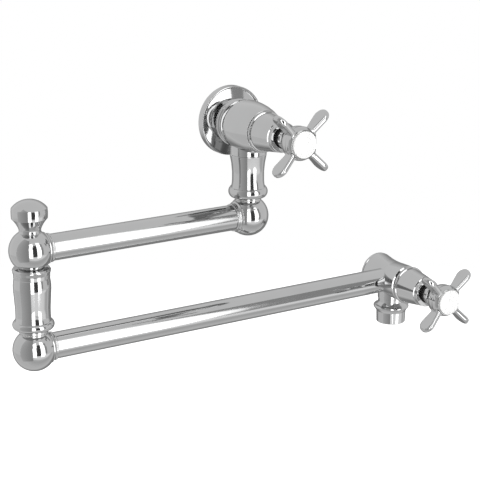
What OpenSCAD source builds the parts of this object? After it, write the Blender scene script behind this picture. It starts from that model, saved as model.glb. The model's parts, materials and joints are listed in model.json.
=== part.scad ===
// Wall-mounted pot filler with two swinging arms and two quarter-turn valves.
// Origin: centre of the supply inlet in the plane of the wall. +Z is up, the wall is the plane
// Y = 0 and the user stands on the -Y side. At rest the upper arm lies along -X and the lower
// arm folds back beneath it, both parallel to the wall.

/* [Layout] */
// Distance from the wall to the plane that both arms lie in
arm_plane = 32.5; // [31:0.5:40]
// Drop from the wall valve axis to the upper arm axis
upper_arm_drop = 79; // [78:1:100]
// Upper arm, from the wall swivel axis to the elbow axis
upper_reach = 206; // [150:1:300]
// Drop from the upper arm axis to the lower arm axis
lower_arm_drop = 84.3; // [83:0.1:110]
// Lower arm, from the elbow axis to the outlet axis
lower_reach = 366; // [250:1:450]

/* [Wall flange] */
// Diameter of the wall flange
flange_d = 60.8; // [56:0.2:70]
// Thickness of the wall flange
flange_t = 7; // [6:0.5:9]
// Wall of the pressed flange
flange_wall = 2.2; // [1.5:0.1:2.6]
// Depth of the dish in the face of the flange
flange_dish = 0.6; // [0.2:0.1:1]
// Width of the foam gasket behind the flange
gasket_w = 5; // [3:0.5:7]

/* [Supply inlet] */
// Major diameter of the half-inch supply thread
inlet_d = 21; // [20:0.1:22]
// Depth of the supply thread
inlet_depth = 18; // [14:0.5:20]
// Outer diameter of the inlet neck
neck_d = 26.8; // [26:0.1:28]

/* [Wall valve body] */
// Distance from the wall to the back of the rear lip
lip_back = 12.3; // [10:0.1:13]
// Width of the rear lip
lip_w = 4.1; // [3:0.1:4.5]
// Width of the cove in front of the lip
cove_w = 3.2; // [2:0.1:3.6]
// Diameter of the body at the cove's edges
cove_edge_d = 40.4; // [39:0.1:41]
// Largest diameter of the wall body
bulb_d = 44.8; // [42:0.2:46]
// Distance from the arm plane back to the widest place of the body
bulb_set_back = 1.5; // [0:0.1:3]
// Distance from the arm plane to the front face of the wall body
wall_front = 26.5; // [25:0.1:30]
// Diameter of the front face of the wall body
wall_front_d = 36; // [35.4:0.1:38]
// Diameter of the boss below the wall body and of the post's top
boss_d = 32; // [30:0.1:32.6]
// Drop from the valve axis to the face of that boss
boss_drop = 24; // [23.2:0.1:26]

/* [End valve body] */
// Distance from the arm plane back to the rear face
end_rear = 24.5; // [23.5:0.1:26]
// Diameter of the rear rim
end_rim_d = 37.6; // [36:0.1:40]
// Width of the rear rim
end_rim_w = 3.6; // [3:0.1:5]
// Diameter of the waist of the body
end_waist_d = 32.8; // [32:0.1:34]
// Distance from the arm plane to the front face of the end valve body
end_front = 25.3; // [24.5:0.1:28]
// Width of the front ring of the end valve body
end_ring_w = 4.4; // [3.6:0.1:5]
// Width of the cove behind the front ring
end_cove_w = 4.8; // [4:0.1:5.4]
// Diameter of the boss for the outlet
end_boss_d = 25.6; // [25:0.1:27]
// Drop from the valve axis to the face of the outlet boss
end_boss_drop = 18.5; // [18:0.1:20]
// Depth of the arm tube's socket in the side of the body, from the body's axis
end_socket_stop = 12.2; // [12:0.1:13]
// Depth of the waterway behind the cartridge's seat
end_rear_bore = 10; // [8:0.5:11]
// Diameter of the slanted waterway from the tube to that depth
rear_port_d = 5; // [4:0.1:5.4]

/* [Bonnet] */
// Diameter of the ring at the foot of the bonnet
bonnet_ring_d = 35.2; // [34.8:0.1:36]
// Width of that ring
bonnet_ring_w = 2.4; // [1.8:0.1:3]
// Diameter of the cone next to the ring
bonnet_foot_d = 32.6; // [32:0.1:34]
// Diameter of the cone at the nose
bonnet_nose_d = 26; // [25:0.1:28]
// Length of the bonnet
bonnet_h = 29; // [28:0.1:32]
// Diameter of the opening in the nose
bonnet_open_d = 17.4; // [17:0.1:18.4]
// Width of each of the two fine rings at the nose
nose_ring_w = 1.3; // [0.8:0.1:1.6]

/* [Cartridge] */
// Depth of the cartridge's seat behind the body's front face
seat_depth = 31.8; // [31.4:0.1:32.2]
// Diameter of the ceramic discs
disc_d = 17; // [16.6:0.1:17.2]
// Wall of the lower shell round the discs
shell_wall = 0.9; // [0.8:0.1:1.1]
// Width of the water space between that shell and its chamber
water_gap = 1.4; // [1.2:0.1:1.5]
// Step from the chamber out to the cartridge's thread in the body
thread_step = 0.7; // [0.6:0.1:0.8]
// Length of that thread
cartridge_thread_h = 13; // [12:0.1:14]
// Step from that thread out to the flats of the hexagon
hex_step = 0.5; // [0.4:0.1:0.6]
// Height of the hexagon
hex_h = 3.5; // [3:0.1:4.5]
// Diameter of the thread that holds the bonnet
bonnet_thread_d = 19.5; // [19:0.1:20]
// Length of that thread
bonnet_thread_h = 11; // [8:0.5:12]
// Distance from the body's front face to the shell's front end
shell_front = 25; // [24:0.1:25.6]
// Thickness of each ceramic disc
disc_t = 3; // [2.5:0.1:3.4]
// Thickness of the seat seal
seal_t = 2.4; // [2:0.1:3]
// Mean diameter of the seal between body and bonnet
face_seal_d = 32; // [31.6:0.1:32.4]
// Diameter of the hole through the seat
seat_bore_d = 11; // [9:0.1:12]
// Height of the water windows in the shell
window_h = 4.6; // [4:0.1:5]
// Diameter of the spindle's shaft
spindle_d = 10; // [9.4:0.1:10.6]
// Diameter of the spindle's splined end over its teeth
spline_d = 9.2; // [8.6:0.1:9.4]
// Diameter of the black stop ring over its serrations
stop_ring_d = 16.4; // [16:0.1:16.8]
// Height of the black stop ring
stop_ring_h = 5.5; // [4.5:0.1:6]
// Depth of the screw hole in the spindle's end
handle_screw_h = 10; // [8:0.5:12]

/* [Cross handle] */
// Distance from the body's front face to the rear end of the handle's skirt
skirt_start = 32.5; // [32:0.1:34]
// Diameter of the skirt at its rear end
skirt_d = 14.8; // [14:0.1:16]
// Length of the skirt's straight part
skirt_h = 3.4; // [2:0.1:4]
// Diameter of the hub
hub_d = 28; // [27:0.1:29]
// Diameter of the hub's front shoulder round the button
hub_front_d = 25; // [24.8:0.1:26]
// Distance from the body's front face to the middle plane of the spokes
spoke_plane = 53.5; // [53:0.1:55]
// Distance from the spoke plane to the hub's front shoulder
hub_front = 5.2; // [4.6:0.1:6]
// Distance from the spoke plane back to the end of the hub's bell
hub_back = 8.6; // [8:0.1:9.2]
// Radius from the handle's axis to the tips of the spokes
spoke_reach = 35; // [33:0.1:38]
// Width of a spoke's paddle near its tip
paddle_w = 15; // [13:0.1:16]
// Width of a spoke where it leaves the hub
spoke_root_w = 9; // [8:0.1:10]
// Thickness of a spoke
spoke_t = 5.2; // [4.6:0.1:6]
// Radius of the rounding along a spoke's edges
spoke_round = 2; // [1.6:0.1:2.2]
// Diameter of the porcelain button
button_d = 22.6; // [22:0.1:23]
// Height of the button's rim above the hub's shoulder
button_rim = 1.6; // [1:0.1:2]
// Height of the button's dome above its rim
button_dome = 1.7; // [1:0.1:2.4]
// Depth of the button's seat in the hub
button_seat = 2.5; // [2:0.1:3]
// Diameter of the handle screw's head
screw_head_d = 7.4; // [7:0.1:8]
// Height of the handle screw's head
screw_head_h = 3; // [2.4:0.1:3.4]
// Height of the handle's web between spindle and screw head
handle_web = 5; // [4:0.1:5.4]

/* [Arm tubes and balls] */
// Outer diameter of both arm tubes
tube_d = 22.2; // [21.6:0.1:22.6]
// Wall of both arm tubes
tube_wall = 1.3; // [1:0.1:1.6]
// Diameter of the balls
ball_d = 35.8; // [35:0.1:38]
// Diameter of the collar where it leaves the ball
collar_root_d = 27; // [26:0.1:27.4]
// Distance from the ball's centre to the inner end of the collar, inside the ball
collar_start = 11.4; // [11.3:0.1:11.6]
// Distance from the ball's centre to the end of the collar's root band
collar_root = 13; // [12.6:0.1:13.4]
// Distance from the ball's centre to the start of the collar's lip
collar_lip = 15; // [14.6:0.1:15.6]
// Distance from the ball's centre to the collar's mouth
collar_reach = 17; // [16.4:0.1:20]
// Wall of the collar at its mouth
collar_wall = 0.7; // [0.6:0.1:1]
// Distance from the ball's centre to the end of the tube in its socket
socket_stop = 12.5; // [12:0.1:14]
// Diameter of the waterways
water_d = 12; // [10:0.5:13]

/* [Swivels] */
// Height of the swivel's running face above the lower ball's centre
swivel_face = 15; // [14.6:0.1:15.6]
// Diameter of the neck above and below the running face
swivel_neck_d = 22.8; // [22:0.1:23.4]
// Thickness of the swivel's washer
swivel_washer_t = 0.5; // [0.4:0.1:1]
// Diameter of the ball's spigot inside the post
spigot_d = 17.9; // [17:0.1:18.4]
// Length of the spigot
spigot_h = 26; // [24:0.5:28]
// Height of the bead above the lower ball's centre
bead_height = 21.8; // [21.4:0.1:23]
// Diameter of the bead
bead_d = 34.2; // [32:0.1:35]
// Width of the bead
bead_w = 4.6; // [4:0.1:5]

/* [Wall post] */
// Diameter of the post's threaded top spigot
post_thread_d = 19.8; // [19:0.1:20.6]
// Height of the threaded top spigot
post_thread_h = 8.5; // [7:0.1:9]
// Diameter just above the bead
post_foot_d = 28.2; // [27.6:0.1:30]
// Smallest diameter of the post
post_waist_d = 27; // [26:0.1:27.4]
// Height of the smallest diameter above the lower ball's centre
post_waist = 34; // [33:0.1:38]

/* [Elbow column] */
// Diameter just above the bead
column_foot_d = 28.4; // [27.6:0.1:30]
// Largest diameter of the column's bulge
column_bulge_d = 31.4; // [30:0.1:32]
// Drop from the upper ball's centre to the bulge
column_bulge = 28; // [27:0.1:29]
// Diameter of the column's waist below its top collar
column_waist_d = 29.8; // [29:0.1:30]
// Height of the column's top collar
column_collar_h = 3.5; // [3:0.1:4]
// Diameter of the column's top collar
column_collar_d = 30.6; // [30.2:0.1:31.4]
// Height of the deep groove between column and ball, and of the ring in it
elbow_ring_h = 3.7; // [3.6:0.1:4.2]
// Diameter of that ring
elbow_ring_d = 21.8; // [21:0.1:22.2]
// Diameter of the column's threaded top spigot
column_spigot_d = 17.8; // [17:0.1:18.4]
// Height of the column's threaded spigot inside the ball
column_spigot_h = 8.5; // [7:0.1:9]
// Drop from the upper ball's centre to the flat cut below it
ball_cut = 10.5; // [10:0.1:11.4]

/* [Finial] */
// Height of the finial's foot above the ball's centre
finial_foot = 13; // [12.8:0.1:13.6]
// Diameter of the band at the finial's foot
finial_foot_d = 22.4; // [21.6:0.1:22.6]
// Height of that band
finial_foot_h = 1.6; // [1:0.1:2]
// Diameter of the finial just above that band
finial_root_d = 20.8; // [20:0.1:21.4]
// Diameter of the finial's waist
finial_waist_d = 19.8; // [18:0.1:20]
// Height of the waist above the foot
finial_waist = 4.4; // [3.4:0.1:5]
// Diameter of the finial's band
finial_band_d = 30.2; // [28:0.1:32]
// Height from the foot to the lower edge of the band
finial_flare = 15.5; // [13:0.1:17]
// Height of the band
finial_band_h = 7.9; // [6:0.1:9]
// Height of the dome on top of the band
finial_dome = 7.1; // [5:0.1:9]
// Diameter of the finial's threaded stud
finial_stud_d = 10; // [8:0.5:11]
// Length of the finial's threaded stud
finial_stud_h = 6; // [4:0.5:6.5]

/* [Outlet] */
// Diameter of the outlet's neck
outlet_neck_d = 24.6; // [24:0.1:25]
// Drop from the valve axis to the lower end of the neck
outlet_neck = 21.8; // [21.4:0.1:22.6]
// Diameter of the outlet's bead
outlet_bead_d = 32.6; // [31:0.1:34]
// Drop from the valve axis to the bead
outlet_bead = 26.8; // [26.4:0.1:28]
// Diameter of the outlet's barrel
barrel_d = 26.8; // [26.6:0.1:28]
// Drop from the valve axis to the top of the barrel
barrel_top = 34.4; // [33:0.1:35]
// Drop from the valve axis to the mouth of the outlet
outlet_mouth = 42; // [41.6:0.1:45]
// Diameter of the aerator's thread
aerator_d = 23.4; // [23:0.1:23.8]
// Height of the aerator's housing
aerator_h = 12; // [11:0.1:13]
// Wall of the aerator's housing
aerator_wall = 1.6; // [1.4:0.1:2]
// Thickness of the washer on top of the aerator
aerator_washer_t = 1.5; // [1:0.1:2]
// Diameter of the outlet's thread in the body
outlet_thread_d = 17.8; // [17:0.1:18]
// Height of the outlet's thread in the body
outlet_thread_h = 6; // [5:0.1:6.4]

/* [Hidden] */
// Radial gap of a screwed or brazed joint
thread_gap = 0.05;
// Radial gap of a shaft that turns in its bearing
running_gap = 0.05;
// Gap between an O-ring and the walls of its groove
ring_gap = 0.02;
// Gap between parts that turn past each other and don't touch
turning_gap = 0.3;
// Radial gap between the flange and the inlet neck
flange_gap = 0.2;
// Number of straight steps in each curved stretch of a profile
curve_steps = 10;
// Overrun of a cut past the surface that it opens
cut = 1;
// Bevel on the edges of turned parts
edge_break = 0.4;
$fn = 96;

upper_z = -upper_arm_drop;
lower_z = upper_z - lower_arm_drop;
elbow_x = -upper_reach;
outlet_x = elbow_x + lower_reach;
wall_head = arm_plane + wall_front;
end_head = arm_plane + end_front;
tube_r = tube_d / 2;
ball_r = ball_d / 2;
neck_r = neck_d / 2;
// Section and groove sizes of the wide and the small O-rings
ring_section = 1.6;
ring_groove_w = 2.2;
small_ring_groove_w = 1.8;
small_ring_depth = 1.4;
// Diameters round the discs: shell, chamber, thread, and the hexagon across its flats
shell_d = disc_d + 2 * shell_wall;
chamber_d = shell_d + 2 * water_gap;
cartridge_thread_d = chamber_d + 2 * thread_step;
hex_af = cartridge_thread_d + 2 * hex_step;
// Heights of the discs, the windows above them and the spindle's parts, from the body's front
disc_top = seal_t + 2 * disc_t - seat_depth;
window_top = disc_top + window_h;
tang_l = disc_d * 0.55;
tang_w = disc_d * 0.16;
tang_h = disc_t * 0.4;
spline_h = 11.8;
spline_top = skirt_start + spline_h;
spindle_rings = [4, 9];
// Land of the cartridge shell that carries its O-ring
land_h = 3;
land_r = chamber_d / 2 - thread_gap;
// Swivel bore, the spigot's grooves and the grub screw that runs in one of them
swivel_bore_r = spigot_d / 2 + running_gap;
spigot_groove_r = spigot_d / 2 - 1.5;
swivel_rings = [swivel_face + 6, swivel_face + 11];
screw_height = swivel_face + spigot_h * 0.8;
screw_d = 4;
screw_tip_d = 2.6;
aerator_top = outlet_mouth - aerator_h;
aerator_inner_r = aerator_d / 2 - aerator_wall;
screen_t = 1;
insert_h = aerator_h - 3.2;
// Room left at the blind end of a screwed or pressed joint
end_room = 0.4;

// Points from a up to, but not including, b on an arc that bows away from the axis by sag
function bow(a, b, sag) =
    let (c = norm(b - a))
    let (d = (b - a) / c)
    let (half = 2 * atan(2 * abs(sag) / c))
    let (r = c / (2 * sin(half)))
    [for (i = [0:curve_steps - 1])
        let (t = half * (2 * i / curve_steps - 1))
        a + d * (c / 2 + r * sin(t)) + [d[1], -d[0]] * sign(sag) * r * (cos(t) - cos(half))];

// How far a spherical cap of radius r and height h bows out from the line between rim and top
function cap_sag(r, h) =
    let (ball = (r * r + h * h) / (2 * h))
    ball - sqrt(ball * ball - (r * r + h * h) / 4);

// Places on the object: local +Z runs away from the wall, up, down, or along an arm
module off_wall(x, z, out = 0) {
    translate([x, -out, z]) rotate([90, 0, 0]) children();
}

module upright(x, z) {
    translate([x, -arm_plane, z]) children();
}

module hanging(x, z) {
    translate([x, -arm_plane, z]) rotate([180, 0, 0]) children();
}

module along_arm(x, z, side) {
    translate([x, -arm_plane, z]) rotate([0, 90 * side, 0]) children();
}

module chrome() { color([0.78, 0.79, 0.80]) children(); }
module brass() { color([0.80, 0.66, 0.36]) children(); }
module rubber() { color([0.10, 0.10, 0.10]) children(); }
module ceramic() { color([0.93, 0.93, 0.90]) children(); }
module porcelain() { color([0.98, 0.98, 0.97]) children(); }

// A turned shape from points of [radius, height]
module turned(points) {
    rotate_extrude() polygon(points);
}

// A flat ring
module ring(inner, outer, h) {
    difference() {
        cylinder(h = h, r = outer);
        translate([0, 0, -cut]) cylinder(h = h + 2 * cut, r = inner);
    }
}

// An O-ring that fills the space between two radii, centred on height z
module o_ring(z, inner, outer) {
    translate([0, 0, z]) rotate_extrude()
        translate([(inner + outer) / 2, 0]) circle(r = (outer - inner) / 2 - ring_gap);
}

// The tool that cuts an outside groove down to radius inner, centred on height z
module groove(z, w, inner) {
    translate([0, 0, z - w / 2]) rotate_extrude()
        translate([inner, 0]) square([ball_r, w]);
}

// Flange, gasket and the ring that grips the inlet neck

module wall_flange() {
    r = flange_d / 2;
    hole = neck_r + flange_gap;
    hub = hole + ring_section + 2;
    back = flange_t - flange_wall - flange_dish;
    edge = flange_wall / 2;
    chrome() off_wall(0, 0) difference() {
        turned(concat(
            [[hole, cut], [hub, cut], [hub, back], [r - flange_wall, back], [r - flange_wall, 0], [r, 0]],
            bow([r, flange_t - edge], [r - edge, flange_t], edge * 0.3),
            [[r - edge, flange_t], [r - 2 * edge, flange_t]],
            bow([r - 2 * edge, flange_t - flange_dish * 0.4], [hole, flange_t - flange_dish], -0.15),
            [[hole, flange_t - flange_dish]]));
        translate([0, 0, flange_t / 2 - ring_groove_w / 2])
            cylinder(h = ring_groove_w, r = hole + ring_section - flange_gap);
    }
}

module flange_gasket() {
    rim = flange_d / 2 - flange_wall - flange_gap;
    rubber() off_wall(0, 0) ring(rim - gasket_w, rim, flange_t - flange_wall - flange_dish);
}

module flange_o_ring() {
    rubber() off_wall(0, 0) o_ring(flange_t / 2, neck_r, neck_r + ring_section);
}

// Wall valve body

module wall_body() {
    edge = cove_edge_d / 2;
    front = wall_front_d / 2;
    lip_front = lip_back + lip_w;
    cove_front = lip_front + cove_w;
    chrome() difference() {
        union() {
            off_wall(0, 0) turned(concat(
                [[0, 0], [neck_r, 0], [neck_r, lip_back]],
                bow([edge, lip_back], [edge, lip_front], lip_w / 5),
                bow([edge, lip_front], [edge, cove_front], -cove_w / 4),
                bow([edge, cove_front], [bulb_d / 2, arm_plane - bulb_set_back], 0.5),
                bow([bulb_d / 2, arm_plane - bulb_set_back], [front, wall_head], 1.2),
                [[front, wall_head], [0, wall_head]]));
            upright(0, -boss_drop) cylinder(h = boss_drop, d = boss_d);
        }
        off_wall(0, 0) {
            translate([0, 0, -cut]) cylinder(h = inlet_depth + cut, d = inlet_d);
            cylinder(h = wall_head, d = seat_bore_d);
        }
        off_wall(0, 0, wall_head) cartridge_seat();
        upright(0, -boss_drop - cut) {
            cylinder(h = post_thread_h + end_room + cut, r = post_thread_d / 2 + thread_gap);
            cylinder(h = boss_drop + cut, d = water_d);
        }
    }
}

// The tool that cuts the chamber, the cartridge's thread and the face seal's groove
module cartridge_seat() {
    translate([0, 0, -seat_depth]) cylinder(h = seat_depth, d = chamber_d);
    translate([0, 0, -cartridge_thread_h])
        cylinder(h = cartridge_thread_h + cut, r = cartridge_thread_d / 2 + thread_gap);
    translate([0, 0, -ring_section])
        ring((face_seal_d - ring_section) / 2, (face_seal_d + ring_section) / 2, ring_section + cut);
}

// Bonnet and the cartridge under it, for either valve; height 0 is the body's front face

module bonnet() {
    ring_r = bonnet_ring_d / 2;
    nose = bonnet_nose_d / 2;
    ring_2 = bonnet_h - 2 * nose_ring_w;
    ring_1 = ring_2 - 2 * nose_ring_w;
    chrome() difference() {
        turned(concat(
            [[0, 0]],
            bow([ring_r - 0.4, 0], [ring_r - 0.4, bonnet_ring_w], 0.4),
            [[ring_r - 0.4, bonnet_ring_w], [bonnet_foot_d / 2, bonnet_ring_w + 0.5]],
            [[nose + 0.3, ring_1]],
            bow([nose + 0.1, ring_1], [nose + 0.1, ring_1 + nose_ring_w], 0.35),
            [[nose + 0.1, ring_1 + nose_ring_w], [nose - 0.2, ring_2]],
            bow([nose - 0.2, ring_2], [nose - 0.2, ring_2 + nose_ring_w], 0.35),
            bow([nose - 0.2, ring_2 + nose_ring_w], [nose - 1.4, bonnet_h], 0.3),
            [[nose - 1.4, bonnet_h], [0, bonnet_h]]));
        translate([0, 0, -cut]) {
            cylinder(h = bonnet_h + 2 * cut, d = bonnet_open_d);
            cylinder(h = shell_front + turning_gap + cut, r = bonnet_thread_d / 2 + thread_gap);
            cylinder(h = shell_front - bonnet_thread_h + cut, d = bonnet_thread_d + 3);
            cylinder(h = hex_h + 1.5 + cut, r = hex_af / sqrt(3) + 0.6);
        }
    }
}

module bonnet_o_ring() {
    rubber() o_ring(-ring_section / 2,
        (face_seal_d - ring_section) / 2, (face_seal_d + ring_section) / 2);
}

// Brass shell of the ceramic-disc cartridge, with water windows above the discs
module cartridge_shell() {
    shell_r = shell_d / 2;
    land = -cartridge_thread_h - land_h;
    foot = seal_t / 2 - seat_depth;
    brass() difference() {
        union() {
            translate([0, 0, foot]) cylinder(h = land - foot, r = shell_r);
            translate([0, 0, land]) cylinder(h = land_h, r = land_r);
            translate([0, 0, -cartridge_thread_h])
                cylinder(h = cartridge_thread_h, d = cartridge_thread_d);
            cylinder(h = hex_h, r = hex_af / sqrt(3), $fn = 6);
            cylinder(h = shell_front, r = bonnet_thread_d / 2 - 0.6);
            translate([0, 0, shell_front - bonnet_thread_h])
                cylinder(h = bonnet_thread_h, d = bonnet_thread_d);
        }
        translate([0, 0, foot - cut])
            cylinder(h = window_top - foot + cut, r = disc_d / 2 + thread_gap);
        cylinder(h = 4 * shell_front, r = spindle_d / 2 + running_gap, center = true);
        for (a = [0, 90]) {
            translate([0, 0, window_top - window_h / 2]) rotate([0, 0, a])
                cube([4 * shell_r, disc_d * 0.45, window_h], center = true);
        }
        groove(land + land_h / 2, small_ring_groove_w, land_r - small_ring_depth);
    }
}

module cartridge_o_ring() {
    rubber() o_ring(-cartridge_thread_h - land_h / 2, land_r - small_ring_depth, chamber_d / 2);
}

module seat_seal() {
    rubber() translate([0, 0, -seat_depth]) ring(seat_bore_d / 2, disc_d / 2 - thread_gap, seal_t);
}

// The two opposite ports through a ceramic disc
module disc_ports(h) {
    translate([0, 0, -cut]) linear_extrude(h + 2 * cut) for (a = [0, 180]) rotate(a)
        intersection() {
            difference() {
                circle(d = disc_d * 0.8);
                circle(d = disc_d * 0.28);
            }
            polygon([[0, 0], [disc_d, -0.8 * disc_d], [disc_d, 0.8 * disc_d]]);
        }
}

module fixed_disc() {
    ceramic() translate([0, 0, seal_t - seat_depth]) difference() {
        cylinder(h = disc_t, d = disc_d);
        disc_ports(disc_t);
    }
}

module moving_disc() {
    ceramic() translate([0, 0, disc_top - disc_t]) difference() {
        cylinder(h = disc_t, r = disc_d / 2 - turning_gap);
        rotate(90) disc_ports(disc_t);
        translate([0, 0, disc_t])
            cube([tang_l + 2 * turning_gap, tang_w + 2 * turning_gap, 2 * tang_h], center = true);
    }
}

// Spindle: tang in the moving disc, driver bar, shaft, splined end with a screw hole
module spindle() {
    brass() difference() {
        union() {
            translate([-tang_l / 2, -tang_w / 2, disc_top - tang_h + thread_gap])
                cube([tang_l, tang_w, tang_h + 1]);
            intersection() {
                translate([0, 0, disc_top + thread_gap])
                    cylinder(h = window_h - turning_gap, r = disc_d / 2 - 2 * turning_gap);
                cube([2 * disc_d, disc_d * 0.3, 4 * seat_depth], center = true);
            }
            translate([0, 0, disc_top + 1]) cylinder(h = shell_front - disc_top - 1, d = spindle_d);
            translate([0, 0, shell_front - cut])
                linear_extrude(spline_top - shell_front + cut) spline();
        }
        for (z = spindle_rings) groove(z, small_ring_groove_w, spindle_d / 2 - small_ring_depth);
        translate([0, 0, spline_top - handle_screw_h])
            cylinder(h = handle_screw_h + cut, r = screw_d / 2 + thread_gap);
    }
}

// Twenty fine teeth from five squares turned by 18 degrees
module spline() {
    for (i = [0:4]) rotate(18 * i) circle(d = spline_d, $fn = 4);
}

module spindle_o_rings() {
    rubber() for (z = spindle_rings)
        o_ring(z, spindle_d / 2 - small_ring_depth, spindle_d / 2 + running_gap);
}

// Black stop ring with thirty serrations, on the front end of the cartridge
module stop_ring() {
    color([0.05, 0.05, 0.05]) translate([0, 0, shell_front]) difference() {
        linear_extrude(stop_ring_h) for (i = [0:4])
            rotate(12 * i) circle(d = stop_ring_d, $fn = 6);
        translate([0, 0, -cut]) cylinder(h = stop_ring_h + 2 * cut, r = spindle_d / 2 + turning_gap);
    }
}

// Cross handle, its screw and the porcelain button

module handle() {
    skirt = skirt_d / 2;
    hub = hub_d / 2;
    step_z = skirt_start + skirt_h;
    front = spoke_plane + hub_front;
    seat = front - button_seat;
    chrome() difference() {
        union() {
            turned(concat(
                [[0, skirt_start], [skirt - edge_break, skirt_start]],
                [[skirt, skirt_start + edge_break]],
                [[skirt, step_z], [skirt + 0.7, step_z + 0.4]],
                bow([skirt + 0.7, step_z + 0.8], [hub - 0.8, spoke_plane - hub_back], -1),
                bow([hub - 0.8, spoke_plane - hub_back], [hub, spoke_plane - 2], 0.3),
                bow([hub, spoke_plane - 2], [hub_front_d / 2, front - edge_break], 0.9),
                [[hub_front_d / 2, front - edge_break], [hub_front_d / 2 - edge_break, front]],
                [[0, front]]));
            for (i = [0:3]) rotate(45 + 90 * i) spoke();
        }
        translate([0, 0, seat]) cylinder(h = button_seat + cut, r = button_d / 2 + thread_gap);
        translate([0, 0, spline_top + handle_web]) cylinder(h = bonnet_h, d = screw_head_d + 1);
        cylinder(h = 2 * spoke_plane, r = screw_d / 2 + 0.15);
        translate([0, 0, skirt_start - cut])
            cylinder(h = spline_h + end_room + cut, r = spline_d / 2 + running_gap);
    }
}

// One flat spoon-shaped spoke along +X, wide along the valve's axis and rounded at its edges
module spoke() {
    translate([0, 0, spoke_plane]) hull() {
        translate([spoke_reach - paddle_w / 2, 0, 0]) rotate([90, 0, 0]) pebble(paddle_w / 2);
        translate([hub_d / 2 - 3, 0, 0]) rotate([90, 0, 0]) pebble(spoke_root_w / 2);
    }
}

// A flat disc of radius r with rounded edges
module pebble(r) {
    flat = spoke_t / 2 - spoke_round;
    rotate_extrude($fn = 32) polygon(concat(
        [[0, -spoke_t / 2]],
        [for (a = [-90:30:0]) [r - spoke_round + spoke_round * cos(a), -flat + spoke_round * sin(a)]],
        [for (a = [0:30:90]) [r - spoke_round + spoke_round * cos(a), flat + spoke_round * sin(a)]],
        [[0, spoke_t / 2]]));
}

module handle_screw() {
    color([0.70, 0.71, 0.72]) difference() {
        union() {
            translate([0, 0, spline_top + handle_web]) cylinder(h = screw_head_h, d = screw_head_d);
            translate([0, 0, spline_top - handle_screw_h + 1])
                cylinder(h = handle_screw_h + handle_web - 1, d = screw_d);
        }
        translate([0, 0, spline_top + handle_web + screw_head_h / 2])
            cylinder(h = screw_head_h, r = 1.7, $fn = 6);
    }
}

module index_button() {
    r = button_d / 2;
    front = spoke_plane + hub_front;
    porcelain() turned(concat(
        [[0, front - button_seat], [r - edge_break, front - button_seat]],
        [[r, front - button_seat + edge_break]],
        [[r, front + button_rim - 0.5]],
        bow([r, front + button_rim - 0.5], [r - 0.5, front + button_rim], 0.1),
        bow([r - 0.5, front + button_rim], [0, front + button_rim + button_dome],
            cap_sag(r - 0.5, button_dome)),
        [[0, front + button_rim + button_dome]]));
}

// Balls and collars; height 0 is the ball's centre

// Flared fitting that the arm tube is brazed into
module collar() {
    root = collar_root_d / 2;
    lip = tube_r + collar_wall;
    turned(concat(
        [[0, collar_start], [root, collar_start]],
        [[root, collar_root - edge_break], [root - edge_break, collar_root]],
        bow([root - edge_break, collar_root], [lip + 0.2, collar_lip], -0.3),
        bow([lip, collar_lip], [lip, collar_reach], 0.25),
        [[lip, collar_reach], [0, collar_reach]]));
}

// The tool that cuts the tube's socket and the waterway to the ball's centre
module tube_socket() {
    translate([0, 0, socket_stop]) cylinder(h = collar_reach, r = tube_r + thread_gap);
    cylinder(h = socket_stop + cut, d = water_d);
}

// A ball cut flat at heights low and high; the quarter turn keeps its seam off the collars
module cut_ball(low, high) {
    intersection() {
        rotate([0, 0, 90]) sphere(r = ball_r);
        translate([0, 0, low]) cylinder(h = high - low, r = ball_r + cut);
    }
}

// A ball with a collar on one side and, on top, the spigot that turns in the post above it
module swivel_ball(side) {
    chrome() difference() {
        union() {
            cut_ball(-ball_d, swivel_face);
            rotate([0, 90 * side, 0]) collar();
            cylinder(h = swivel_face, d = swivel_neck_d);
            cylinder(h = swivel_face + spigot_h, d = spigot_d);
        }
        rotate([0, 90 * side, 0]) tube_socket();
        cylinder(h = swivel_face + spigot_h + cut, d = water_d);
        for (z = swivel_rings) groove(z, ring_groove_w, spigot_groove_r);
        groove(screw_height, screw_tip_d + 4 * turning_gap, spigot_groove_r);
    }
}

module swivel_o_rings() {
    rubber() for (z = swivel_rings) o_ring(z, spigot_groove_r, swivel_bore_r);
}

module swivel_washer() {
    color([0.92, 0.92, 0.90]) translate([0, 0, swivel_face])
        ring(swivel_bore_r, swivel_neck_d / 2 - 0.2, swivel_washer_t);
}

// The tool that cuts a post's socket for that spigot and the hole for its retaining screw
module swivel_bore() {
    cylinder(h = swivel_face + spigot_h + 1, r = swivel_bore_r);
    translate([0, 0, screw_height]) rotate([-90, 0, 0]) cylinder(h = ball_r, r = screw_d / 2 + thread_gap);
}

// Grub screw in the back of a post, whose tip runs in the spigot's groove
module swivel_screw(flush) {
    tip = spigot_groove_r + turning_gap;
    color([0.70, 0.71, 0.72]) translate([0, 0, screw_height]) rotate([-90, 0, 0]) difference() {
        union() {
            translate([0, 0, tip]) cylinder(h = flush - tip, d = screw_tip_d);
            translate([0, 0, swivel_bore_r + turning_gap])
                cylinder(h = flush - swivel_bore_r - turning_gap, d = screw_d);
        }
        translate([0, 0, flush - 2]) cylinder(h = 2 + cut, r = 1.15, $fn = 6);
    }
}

// Profile points of the neck and bead that both posts have at the foot
function foot_points(foot_r) =
    let (neck = swivel_neck_d / 2)
    let (low = swivel_face + swivel_washer_t)
    let (side = bead_d / 2 - bead_w / 2)
    let (under = bead_height - bead_w / 2)
    concat(
        [[0, low], [neck, low]],
        bow([neck, under - 2], [side, under], -0.5),
        bow([side, under], [side, under + bead_w], bead_w * 0.49),
        [[side, under + bead_w], [foot_r, under + bead_w + 0.6]]);

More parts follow.
